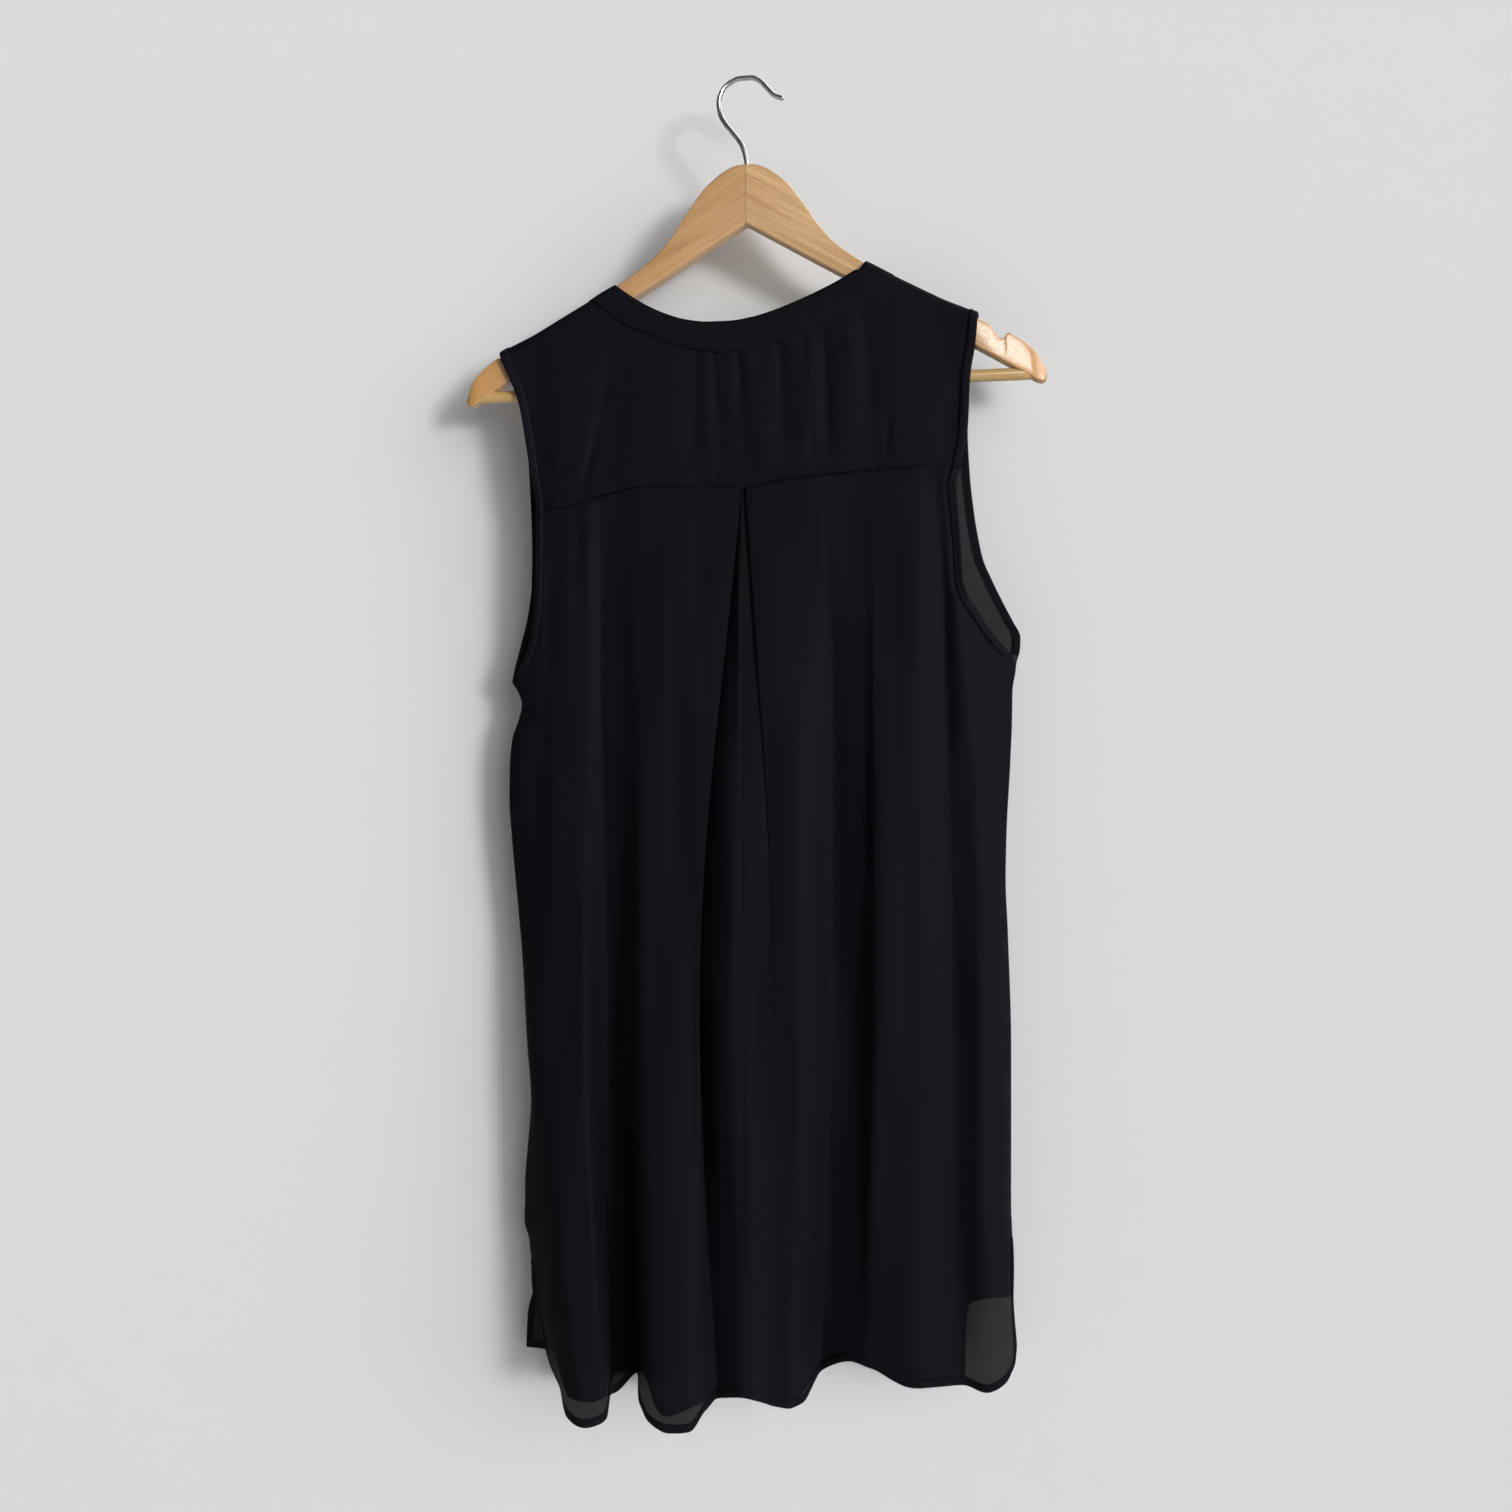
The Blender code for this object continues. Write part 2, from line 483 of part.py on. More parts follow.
def new_object(name, mesh, look, collection):
    """An object with its own material. look is the material's name, colour, roughness, metallic."""
    look_name, colour, roughness, metallic = look
    material = bpy.data.materials.new(f"{name}_{look_name}")
    material.use_nodes = True
    shader = material.node_tree.nodes["Principled BSDF"]
    shader.inputs["Base Color"].default_value = (*colour, 1.0)
    shader.inputs["Roughness"].default_value = roughness
    shader.inputs["Metallic"].default_value = metallic
    mesh.materials.append(material)
    thing = bpy.data.objects.new(name, mesh)
    collection.objects.link(thing)
    return thing


def add_sheet(name, grid, wall, look, collection, closed=False):
    """A wall through a grid of points in millimetres; closed joins the last row to the first."""
    rows, columns = grid.shape[:2]
    index = np.arange(rows * columns).reshape(rows, columns)
    if closed:
        index = np.vstack([index, index[:1]])
    faces = np.stack([index[:-1, :-1], index[:-1, 1:], index[1:, 1:], index[1:, :-1]], axis=-1)
    mesh = bpy.data.meshes.new(name)
    mesh.from_pydata((grid.reshape(-1, 3) * MM).tolist(), [], faces.reshape(-1, 4).tolist())
    mesh.shade_smooth()
    thing = new_object(name, mesh, look, collection)
    shell = thing.modifiers.new("wall", "SOLIDIFY")
    shell.thickness = wall * MM
    shell.offset = 0.0
    return thing


def add_cutter(name, radius, start, end, collection):
    """A cylinder between two points in millimetres, which cuts and isn't shown."""
    start, end = np.array(start, float), np.array(end, float)
    mesh = bpy.data.meshes.new(name)
    shape = bmesh.new()
    bmesh.ops.create_cone(shape, cap_ends=True, segments=24, radius1=radius * MM, radius2=radius * MM,
                          depth=float(np.linalg.norm(end - start)) * MM)
    shape.to_mesh(mesh)
    shape.free()
    cutter = bpy.data.objects.new(name, mesh)
    cutter.location = ((start + end) / 2 * MM).tolist()
    if abs(end[0] - start[0]) > abs(end[2] - start[2]):
        cutter.rotation_euler = (0.0, math.pi / 2, 0.0)
    cutter.hide_render = True
    cutter.display_type = "WIRE"
    collection.objects.link(cutter)
    return cutter


def arm_outline():
    """Outline of one arm in x and z: dome and neck, straight shoulder, notch, tip, underside."""
    x = np.linspace(ARM_JOINT, STRAIGHT_FROM, 22)
    top = list(zip(x.tolist(), wood_top(x).tolist()))
    slope = (ARM_TIP[-1][1] - ARM_APEX[1]) / ARM_TIP[-1][0]
    return top + list(ARM_TIP) + [(ARM_JOINT, ARM_APEX[1] + slope * ARM_JOINT)]


def add_arm(name, side, cutters, look, collection):
    """One half of the hanger: a plate with rounded edges and its bores."""
    outline = [(side * x, z) for x, z in arm_outline()]
    if side > 0:
        outline.reverse()
    mesh = bpy.data.meshes.new(name)
    mesh.from_pydata([(x * MM, 0.0, z * MM) for x, z in outline], [], [tuple(range(len(outline)))])
    arm = new_object(name, mesh, look, collection)
    plate = arm.modifiers.new("thickness", "SOLIDIFY")
    plate.thickness = WOOD_THICKNESS * MM
    plate.offset = 0.0
    rounding = arm.modifiers.new("rounding", "BEVEL")
    rounding.width = WOOD_ROUNDING * MM
    rounding.segments = 2
    rounding.limit_method = "ANGLE"
    rounding.angle_limit = math.radians(80)
    rounding.use_clamp_overlap = False
    for cutter in cutters:
        bore = arm.modifiers.new(cutter.name, "BOOLEAN")
        bore.operation = "DIFFERENCE"
        bore.object = cutter
    return arm


def add_hook(look, collection):
    """The wire hook: a round tube along its path."""
    path = np.array(HOOK_PATH)
    run = np.concatenate([[0.0], np.cumsum(np.linalg.norm(np.diff(path, axis=0), axis=1))])
    points = smooth(run, path, np.linspace(0.0, run[-1], 48))
    wire = bpy.data.curves.new("hanger_hook", "CURVE")
    wire.dimensions = "3D"
    wire.bevel_depth = WIRE_RADIUS * MM
    wire.bevel_resolution = 2
    wire.use_fill_caps = True
    spline = wire.splines.new("POLY")
    spline.points.add(len(points) - 1)
    for point, (x, z) in zip(spline.points, points):
        point.co = (x * MM, 0.0, z * MM, 1.0)
    return new_object("hanger_hook", wire, look, collection)


def add_bar(look, collection):
    """The round trouser bar between the arms' ends."""
    mesh = bpy.data.meshes.new("hanger_bar")
    shape = bmesh.new()
    bmesh.ops.create_cone(shape, cap_ends=True, segments=20, radius1=BAR_RADIUS * MM,
                          radius2=BAR_RADIUS * MM, depth=2 * BAR_HALF * MM)
    shape.to_mesh(mesh)
    shape.free()
    mesh.shade_smooth()
    mesh.set_sharp_from_angle(angle=math.radians(40))
    bar = new_object("hanger_bar", mesh, look, collection)
    bar.location = (0.0, 0.0, BAR_HEIGHT * MM)
    bar.rotation_euler = (0.0, math.pi / 2, 0.0)
    return bar


def new_collection(name):
    collection = bpy.data.collections.new(name)
    bpy.context.scene.collection.children.link(collection)
    return collection


def main():
    for thing in list(bpy.data.objects):
        bpy.data.objects.remove(thing, do_unlink=True)
    parts = new_collection(COLLECTION)
    cutters = new_collection(CUTTERS)
    crepe = ("black_crepe", (0.012, 0.012, 0.016), 0.75, 0.0)
    binding = ("doubled_crepe", (0.010, 0.010, 0.013), 0.8, 0.0)
    wood = ("lacquered_wood", (0.52, 0.31, 0.13), 0.35, 0.0)
    chrome = ("chromed_wire", (0.62, 0.62, 0.63), 0.18, 1.0)

    add_sheet("back_yoke", yoke_grid(TOP_SHARES, steps(YOKE_CREASES, YOKE_PARTS)), WALL, crepe, parts)
    add_sheet("back_panel", back_grid(BACK_SHARES, steps(BACK_FOLDS, BACK_PARTS)), WALL, crepe, parts)
    add_sheet("front_panel", front_grid(TOP_SHARES, FRONT_SHARES, steps(FRONT_FOLDS, FRONT_PARTS)),
              WALL, crepe, parts)
    add_sheet("neckband", neckband_grid(), WALL, crepe, parts, closed=True)
    for side, from_right in (("left", False), ("right", True)):
        add_sheet(f"armhole_binding_{side}", binding_grid(from_right), BINDING_WALL, binding, parts)

    bore_end = BAR_HALF + BORE_CLEARANCE
    bar_bore = add_cutter("bar_bore", BAR_RADIUS + BORE_CLEARANCE, (-bore_end, 0, BAR_HEIGHT),
                          (bore_end, 0, BAR_HEIGHT), cutters)
    shank_bore = add_cutter("shank_bore", WIRE_RADIUS + BORE_CLEARANCE,
                            (0, 0, SHANK_FOOT - BORE_CLEARANCE), (0, 0, 0), cutters)
    for name, side in (("hanger_arm_left", -1), ("hanger_arm_right", 1)):
        add_arm(name, side, (bar_bore, shank_bore), wood, parts)
    add_hook(chrome, parts)
    add_bar(wood, parts)


main()
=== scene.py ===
"""Looks of the blouse on its hanger: sheer black crepe, lacquered wood and a chromed wire hook.

The cloth is worked out from tables of its outline and folds in millimetres, close to those of the
solids, and MM turns it into metres. The back faces -Y, the wearer's right is +X and the origin is
the seat of the hook.
"""
import math

import bpy
import numpy as np
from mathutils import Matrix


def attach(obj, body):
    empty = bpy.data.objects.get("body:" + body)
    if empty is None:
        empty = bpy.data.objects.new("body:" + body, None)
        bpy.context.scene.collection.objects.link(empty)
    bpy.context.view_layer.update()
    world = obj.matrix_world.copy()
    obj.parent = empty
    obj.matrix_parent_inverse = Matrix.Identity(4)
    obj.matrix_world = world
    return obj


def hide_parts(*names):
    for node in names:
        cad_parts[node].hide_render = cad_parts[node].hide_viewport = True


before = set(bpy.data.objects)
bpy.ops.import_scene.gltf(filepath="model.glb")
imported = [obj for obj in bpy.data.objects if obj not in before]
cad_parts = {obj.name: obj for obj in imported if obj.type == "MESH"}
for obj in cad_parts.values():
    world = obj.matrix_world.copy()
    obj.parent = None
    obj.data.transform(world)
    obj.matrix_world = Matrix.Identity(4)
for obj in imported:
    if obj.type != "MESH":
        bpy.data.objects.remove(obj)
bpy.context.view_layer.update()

MM = 0.001
CLOTH_WALL = 0.55        # thickness of one layer as drawn
BAND_WALL = 0.8          # doubled cloth of the neckband
SEAM_GAP = 0.16          # between the yoke and the back panel
BAND_OVERLAP = 1.4       # the neckband lies this far over the panels,
BAND_STAND = 0.35        # stands this far off them at its edges
BAND_BULGE = 0.4         # and this much further along its middle
ARM_LENGTH = 222.3
WOOD_THICKNESS = 12.0
WOOD_ROUNDING = 1.7      # radius of the arms' long edges
ARM_JOINT = 0.15         # half the gap of the glued joint
ARM_NOTCH_FROM = 178.0   # the strap notch lies beyond this
ARM_ROUND_END = 8.0      # length of the round end
PLAN_ROUND_FROM = 210.0  # seen from above, the arm narrows from here
PLAN_ROUND_LENGTH = 12.6     # as an ellipse of this length
PLAN_END_SHARE = 0.35    # towards this share of its thickness
END_SWEEP = 2.2          # the arms' ends curve a little towards the front,
END_SWEEP_FROM = 165.0   # from here
END_SWEEP_LENGTH = 57.0  # over this length
SHOULDER_SLOPE = 0.539   # fall of an arm's straight stretch,
STRAIGHT_FROM = 100.0    # which begins here
BAR_RADIUS = 4.5
BAR_HEIGHT = -231.5
BAR_HALF = 212.0         # the trouser bar ends inside the arms
WIRE_RADIUS = 1.75
FOLD_RADIUS = 8.2        # radius of the cloth's turn over the arms,
TIP_EXTRA = 2.0          # with this much more at the armholes,
TIP_REACH = 30.0         # from this far inside them
ARC_DROP = 5.7           # from the arm's top edge down to the end of the turn
NECK_HALF = 90.0         # the end of the turn stays level over the neck
BUST = -375.0
WAIST = -690.0
WAIST_SHARE = 0.55       # of the way from the yoke seam to the hem
EDGE_STEP = 4.5          # least distance between fold lines next to a panel's edge
HEM_WIDTH = 6.0
HEM_SWELL = 0.35         # the doubled cloth of the hem stands out by this
FACING_WIDTH = 5.0       # turned edges of the side vents,
FACING_FROM = 0.86       # from this share of a panel's rows down
BINDING_WIDTH = 6.5
TURN_ROWS = 13           # rows of the neckband over each shoulder
CORNER_POINTS = 9        # points round each corner of an arm's section

# ---------------------------------------------------------------- tables, millimetres
ARM_TOP = (  # x, z
    (0.0, -65.4), (6.0, -65.8), (15.0, -69.0), (31.0, -81.0), (43.0, -96.5), (55.0, -114.0),
    (67.0, -128.0), (85.0, -142.0), (STRAIGHT_FROM, -151.5))
ARM_TIP_TOP = (  # x, z: strap notch and round end
    (181.6, -195.5), (183.5, -198.8), (186.5, -203.6), (188.6, -205.5), (190.8, -205.8),
    (192.4, -204.2), (193.3, -202.3), (195.0, -202.2), (200.0, -204.8), (208.0, -210.6),
    (215.0, -217.6), (220.0, -226.0), (ARM_LENGTH, -232.5))
ARM_APEX = (0.0, -110.1)
ARM_UNDER_END = ((215.0, -237.0), (219.0, -238.2), (221.3, -236.8), (ARM_LENGTH, -233.5))

HOOK_PATH = (  # x, z: centre line of the wire, from the shank up and over
    (0.0, -85.0), (0.0, -66.0), (-1.6, -56.0), (-4.2, -48.6), (-10.3, -40.0), (-16.0, -32.7),
    (-20.3, -25.0), (-21.8, -15.6), (-19.6, -7.6), (-13.6, -1.4), (-5.2, 1.6), (3.0, 1.5),
    (10.0, -1.6), (16.0, -8.0), (21.0, -13.3), (27.0, -16.0))

YOKE_SEAM = (  # x, y, z
    (-163.0, -9.0, -322.5), (-143.0, -13.0, -321.0), (-121.0, -13.0, -316.5), (-104.0, -12.0, -311.0),
    (-83.0, -13.5, -307.5), (-57.0, -14.0, -307.5), (-29.0, -14.0, -307.5), (0.0, -14.0, -310.0),
    (27.0, -14.0, -305.5), (54.0, -13.5, -303.0), (93.0, -12.0, -300.0), (123.0, -12.5, -299.0),
    (160.0, -9.0, -299.5))

BACK_FOLDS = (  # name, x at seam, waist and hem, tuck behind the seam, y at waist and hem, z at hem
    ("side_turn_left", -152, -168, -124, 0, -11, -54, -997),
    ("crest_1", -136, -148, -109, 0, -20, -65, -998),
    ("crest_1_shoulder", -121, -122, -94, 0, -23, -58, -993),
    ("trough_1_left", -111, -108, -104, 2, -8, -4, -985),
    ("trough_1_right", -95, -93, -87, 1.5, -14, 1, -983),
    ("crest_2_wall", -79, -80, -71, 0, -30, -46, -986),
    ("crest_2_left", -67, -69, -61, 0, -37, -59, -993),
    ("crest_2", -48, -48, -46, 0, -39, -64, -997),
    ("crest_2_right", -25, -37, -31, 0, -39, -61, -996),
    ("pleat_edge_left", -2.0, -29, -22, 0, -38, -51, -985),
    ("pleat_inner_left", -5.0, -33, -17, 7.0, -20, -33, -984),
    ("pleat_centre", -1.5, -4, 4, 2.5, -38, -40, -978),
    ("pleat_inner_right", 4.6, 23.5, 18, 4.6, -34.2, -34, -983),
    ("pleat_edge_right", 1.0, 26, 25, 0, -34.4, -32, -986),
    ("crest_3", 35, 42, 36, 0, -34, -30, -988),
    ("crest_3_shoulder", 54, 56, 45, 0, -25, -22, -987),
    ("trough_3_left", 68, 68, 56, 1.5, -15, -3, -971),
    ("trough_3_right", 91, 91, 82, 0.5, -21, -15, -956),
    ("crest_4_wall", 102, 102, 97, 0, -32, -23, -958),
    ("crest_4", 124, 129, 126, 0, -30, -25, -968),
    ("crease_4", 141, 155, 161, 1.5, -14, -17, -967),
    ("crest_5", 147, 176, 178, 0, -20, -22, -969),
    ("side_turn_right", 152, 189, 192, 0, -13, -17, -963))
BACK_EDGE_HEM = (-992.0, -952.0)

FRONT_FOLDS = (  # name, x at bust, waist and hem, y at bust, waist and hem, z at hem
    ("side_turn_left", -160, -173, -158, 10, 9, 9, -975),
    ("wall_1", -142, -155, -138, 10, 6, -6, -1004),
    ("crest_1", -120, -138, -117, 10, -4, -22, -999),
    ("shoulder_1", -104, -112, -104, 11, 5, 4, -1002),
    ("trough_1", -86, -92, -88, 13, 15, 20, -991),
    ("wall_2", -68, -72, -66, 12.5, 3, -16, -1003),
    ("crest_2", -50, -52, -52, 12, -8, -32, -1000),
    ("middle", -5, -4, -8, 12, 8, 8, -996),
    ("crest_3", 40, 38, 32, 12, -4, -5, -996),
    ("wall_3", 66, 62, 54, 12.5, 6, 9, -976),
    ("trough_3", 92, 90, 80, 13, 16, 24, -969),
    ("crest_4", 124, 126, 120, 12, 4, 10, -979.5),
    ("side_turn_right", 152, 174, 155, 11, 8, 14, -975))
FRONT_EDGE_HEM = (-973.0, -976.0)

BACK_ARMHOLE_LEFT = (  # z, x, y
    (-200, -193, -7.7), (-214, -187, -8), (-236, -178, -8), (-267, -172, -8), (-298, -167, -9),
    (-322, -163, -9), (-370, -163, -10), (-393, -164, -10), (-421, -168, -8), (-438, -175, -5))
BACK_ARMHOLE_RIGHT = (
    (-187, 172.5, -7.7), (-211, 170.5, -8), (-233, 167, -8), (-273, 165, -8), (-300, 160, -9),
    (-312, 157, -10), (-334, 158.5, -11), (-360, 160.5, -12), (-380, 161.5, -12), (-393, 165, -11),
    (-406, 173, -9), (-424, 185, -5), (-434, 193.5, -2))
FRONT_ARMHOLE_LEFT = (
    (-200, -193, 7.7), (-228, -185, 8), (-264, -177, 8), (-295, -174.5, 9), (-354, -172.5, 11),
    (-379, -173, 10), (-403, -175.5, 8), (-427, -180.5, 5), (-446, -184.5, 2))
FRONT_ARMHOLE_RIGHT = (
    (-187, 172.5, 7.7), (-229, 166.5, 8), (-269, 164.5, 8), (-301, 166, 9), (-326, 168.6, 11),
    (-348, 172, 13), (-366, 176, 14), (-381, 182.5, 12), (-397, 190, 9), (-412, 197.5, 5),
    (-424, 203, 2), (-434, 202.5, 1.2))
SIDE_LEFT = (  # z, x: side seam from the underarm to the vent
    (-453, -185.5), (-461, -180.5), (-471, -177.3), (-483, -180), (-498, -185.3), (-518, -187.2),
    (-540, -187.6), (-584, -184.6), (-623, -180.8), (-670, -176.6), (-732, -173.2), (-778, -170),
    (-797, -171), (-812, -172.3), (-841, -174.5), (-872, -174.9), (-887, -170.9), (-906, -168.9),
    (-922, -168.3))
SIDE_RIGHT = (
    (-444, 200), (-463, 197.4), (-485, 197), (-521, 195.5), (-565, 193.1), (-602, 192.3),
    (-638, 193.8), (-726, 196.3), (-780, 196.3), (-836, 196.2), (-887, 197.8), (-907, 197.4))
BACK_VENT_LEFT = (  # z, x, y
    (-931, -164, -6), (-944, -159, -8), (-962, -154.5, -12), (-975, -147.5, -18),
    (-984, -137, -30), (-992, -131, -42))
BACK_VENT_RIGHT = ((-923, 198.5, -3), (-940, 200, -6), (-952, 198.5, -9))
FRONT_VENT_LEFT = ((-944, -174.5, 6), (-973, -176.5, 8))
FRONT_VENT_RIGHT = (
    (-909, 188, 2), (-912, 176, 6), (-919, 165, 10), (-946, 163, 14), (-973, 162.5, 16))

YOKE_CREASES = (  # name, x at the top and at the yoke seam, dent (+ is a trough)
    ("shoulder_left", -160, -152, 0.0),
    ("neck_corner_left", -124, -138, 0.0),
    ("neck_turn_left_high", -122, -135, 0.0),
    ("neck_turn_left_middle", -119, -131, 0.2),
    ("neck_turn_left_low", -115, -127, 0.6),
    ("diagonal_crease", -94, -118, 1.3),
    ("crest_a", -66, -80, -0.9),
    ("crease_a", -37, -37, 0.6),
    ("crest_b", -28, -28, -0.3),
    ("crease_b", -20, -19, 0.3),
    ("crest_c", -11, -10, -0.4),
    ("crease_c", -3, -1, 0.4),
    ("crest_d", 14, 13, -0.9),
    ("crease_d", 29, 30, 0.8),
    ("crest_e", 46, 47, -0.6),
    ("crease_e", 62, 62, 1.2),
    ("crest_f", 77, 79, -0.8),
    ("crease_f", 92, 95, 0.8),
    ("neck_turn_right_low", 105, 103, 0.6),
    ("neck_turn_right_middle", 108, 107, 0.2),
    ("neck_turn_right_high", 110.3, 110, 0.0),
    ("neck_corner_right", 112, 113, 0.0),
    ("shoulder_right", 141, 139, 0.0))

NECK_BACK = (  # inner x, z and outer x, z of the neckband between the shoulders
    (-89.0, -160.5, -103.5, -176.0), (-79.9, -166.5, -92.0, -183.0), (-61.8, -175.8, -70.0, -194.0),
    (-44.5, -181.6, -50.0, -201.8), (-28.4, -184.0, -31.0, -206.3), (-11.6, -184.2, -11.6, -208.3),
    (5.2, -182.2, 7.5, -206.6), (21.4, -178.1, 27.0, -202.0), (40.9, -171.2, 48.0, -195.3),
    (56.8, -164.6, 66.0, -188.3), (71.5, -157.6, 84.0, -179.5), (83.0, -151.0, 98.5, -169.5))
NECK_TURN = (((-96.5, -115.5), (-102.5, -123.0)), ((86.0, 105.5), (91.5, 111.0)))
NECK_FRONT = (
    (-88.0, -169.0, -108.0, -178.0), (-68.0, -203.0, -88.0, -214.3), (-38.0, -257.0, -58.0, -268.8),
    (-5.0, -319.0, -5.0, -365.0),
    (27.0, -256.3, 47.0, -268.1), (58.0, -199.0, 78.0, -210.3), (78.0, -163.0, 98.0, -173.0))
FRONT_TOP = (  # x at the bust line and at the top of the same column
    (-160, -160), (-142, -138), (-131, -123.8), (-120, -122.2), (-112, -120), (-104, -117),
    (-95, -110), (-86, -100), (-68, -80), (-5, -5), (17, 30), (40, 68), (66, 98), (92, 106.3),
    (108, 109), (124, 110.6), (138, 114), (152, 143))

# Small creases pressed or hung into the cloth: a groove (+) or ridge (-) between two ends.
BACK_CREASES = (  # name, x and z at the top, x and z at the foot, depth, half width
    ("side_groove_left", -149, -330, -155, -520, 1.1, 4.0),
    ("shoulder_groove_left", -128, -312, -131, -470, 0.9, 5.0),
    ("trough_1_line", -84, -420, -83, -960, 1.2, 4.5),
    ("crest_2_left_line", -60, -330, -57, -640, -0.9, 6.0),
    ("crest_2_groove", -33, -560, -31, -900, 0.8, 5.0),
    ("pleat_crease", -3.5, -352, -1.0, -560, -0.9, 1.8),
    ("underlay_line", 0.0, -430, 5.0, -890, 0.9, 1.5),
    ("crest_3_groove", 47, -330, 52, -500, 0.5, 6.0),
    ("trough_3_line", 100, -300, 102, -760, 1.1, 3.0),
    ("crest_4_groove", 121, -520, 119, -860, 0.5, 9.0),
    ("crease_4_line", 146, -330, 158, -720, 1.6, 3.2),
    ("side_ridge_right", 168, -520, 176, -900, -0.9, 5.0),
    ("side_groove_right", 184, -620, 188, -880, 0.8, 4.0),
    ("pucker_1", -181, -848, -160, -873, 1.2, 4.0),
    ("pucker_2", -183, -868, -165, -893, 1.0, 3.4),
    ("pucker_3", -176, -885, -158, -905, -0.8, 3.4),
    ("underarm_pull_left", -177, -474, -140, -520, 1.6, 6.0),
    ("underarm_pull_left_low", -182, -486, -150, -560, 1.2, 6.0),
    ("underarm_pull_right", 190, -452, 160, -560, 1.4, 6.0),
    ("underarm_pull_right_low", 193, -480, 176, -640, 1.0, 5.0))
FRONT_CREASES = (
    ("bust_drape_left", -150, -400, -120, -560, 1.2, 9.0),
    ("bust_drape_right", 150, -400, 122, -580, 1.4, 8.0),
    ("point_drape_left", -18, -385, -42, -640, -1.4, 8.0),
    ("point_drape_middle", -4, -375, 6, -700, 1.2, 6.0),
    ("point_drape_right", 12, -380, 44, -620, -1.1, 9.0),
    ("side_line_left", -172, -520, -160, -860, 1.0, 6.0),
    ("side_line_right", 176, -500, 166, -820, 1.1, 7.0),
    ("shoulder_drape_left", -148, -215, -120, -360, 1.0, 7.0),
    ("shoulder_drape_right", 140, -205, 118, -350, 1.2, 7.0))
YOKE_SMALL_CREASES = (
    ("gather_1", -36, -188, -41, -296, 1.3, 4.6),
    ("gather_2", -25, -192, -21, -258, 0.9, 2.8),
    ("gather_3", -7, -192, -2, -246, 1.1, 2.6),
    ("gather_4", 2, -190, 6, -274, -0.7, 3.2),
    ("gather_5", 25, -186, 31, -284, 1.2, 3.8),
    ("gather_6", 43, -181, 46, -238, 0.7, 2.8),
    ("gather_7", 58, -174, 63, -300, 1.7, 5.0),
    ("gather_8", 75, -166, 80, -228, -0.7, 3.0),
    ("gather_9", 87, -160, 95, -268, 1.2, 5.0),
    ("diagonal", -104, -212, -126, -312, 1.4, 3.2),
    ("small_right_1", 50, -296, 52, -262, 0.7, 2.2),
    ("small_right_2", 108, -250, 106, -298, 0.8, 3.0),
    ("armhole_left", -176, -238, -150, -300, 0.9, 6.0),
    ("armhole_right", 160, -226, 146, -292, 0.9, 6.0))

# Slow unevenness of the hanging cloth.
SWAY = (  # amplitude, length across, length down, phase
    (0.7, 57.0, 610.0, 0.3), (0.4, 37.0, -430.0, 2.1), (0.22, 23.0, 380.0, 4.0),
    (0.5, 71.0, 190.0, 5.2), (0.1, 12.0, 520.0, 3.3))


# ---------------------------------------------------------------- curves
def smooth(knots, values, at):
    """Monotone cubic through values at rising knots: spans are Hermite cubics, and a knot's slope
    is the harmonic mean of the chords beside it, or zero where they turn back."""
    knots = np.asarray(knots, float)
    values = np.asarray(values, float)
    flat = values.reshape(len(knots), -1)
    at = np.asarray(at, float)
    place = np.clip(at.ravel(), knots[0], knots[-1])
    step = np.diff(knots)[:, None]
    chord = np.diff(flat, axis=0) / step
    slope = np.vstack([chord[:1], np.zeros_like(flat[1:-1]), chord[-1:]])
    before, after = chord[:-1], chord[1:]
    same_way = before * after > 0
    weight_before = 2 * step[1:] + step[:-1]
    weight_after = step[1:] + 2 * step[:-1]
    safe_before = np.where(same_way, before, 1.0)
    safe_after = np.where(same_way, after, 1.0)
    mean = (weight_before + weight_after) / (weight_before / safe_before + weight_after / safe_after)
    slope[1:-1] = np.where(same_way, mean, 0.0)
    span = np.clip(np.searchsorted(knots, place, side="right") - 1, 0, len(knots) - 2)
    width = step[span]
    s = ((place - knots[span]) / np.diff(knots)[span])[:, None]
    result = (flat[span] * (1 + 2 * s) * (1 - s) ** 2 + width * slope[span] * s * (1 - s) ** 2
              + flat[span + 1] * s ** 2 * (3 - 2 * s) + width * slope[span + 1] * s ** 2 * (s - 1))
    return result.reshape(at.shape + values.shape[1:])


def ease(value):
    """Smooth step from 0 to 1."""
    value = np.clip(value, 0.0, 1.0)
    return value * value * (3 - 2 * value)


def column(table, index):
    """One column of a table."""
    return np.array([row[index] for row in table], float)


# ---------------------------------------------------------------- the shoulder line
def wood_top(x):
    """Height of the arm's top edge: the neck's curve, then a straight slope."""
    distance = np.abs(x)
    curved = smooth(column(ARM_TOP, 0), column(ARM_TOP, 1), distance)
    straight = ARM_TOP[-1][1] - SHOULDER_SLOPE * (distance - STRAIGHT_FROM)
    return np.where(distance < STRAIGHT_FROM, curved, straight)


def turn_radius(x):
    """Radius of the cloth's turn over the arm, larger next to the armholes."""
    nearest = np.minimum(x - BACK_ARMHOLE_LEFT[0][1], BACK_ARMHOLE_RIGHT[0][1] - x)
    return FOLD_RADIUS + TIP_EXTRA * ease(1 - nearest / TIP_REACH)


def turn_end(x):
    """Height where the cloth leaves the shoulder's turn. Between the shoulders it stays level."""
    return wood_top(np.maximum(np.abs(x), NECK_HALF)) - ARC_DROP


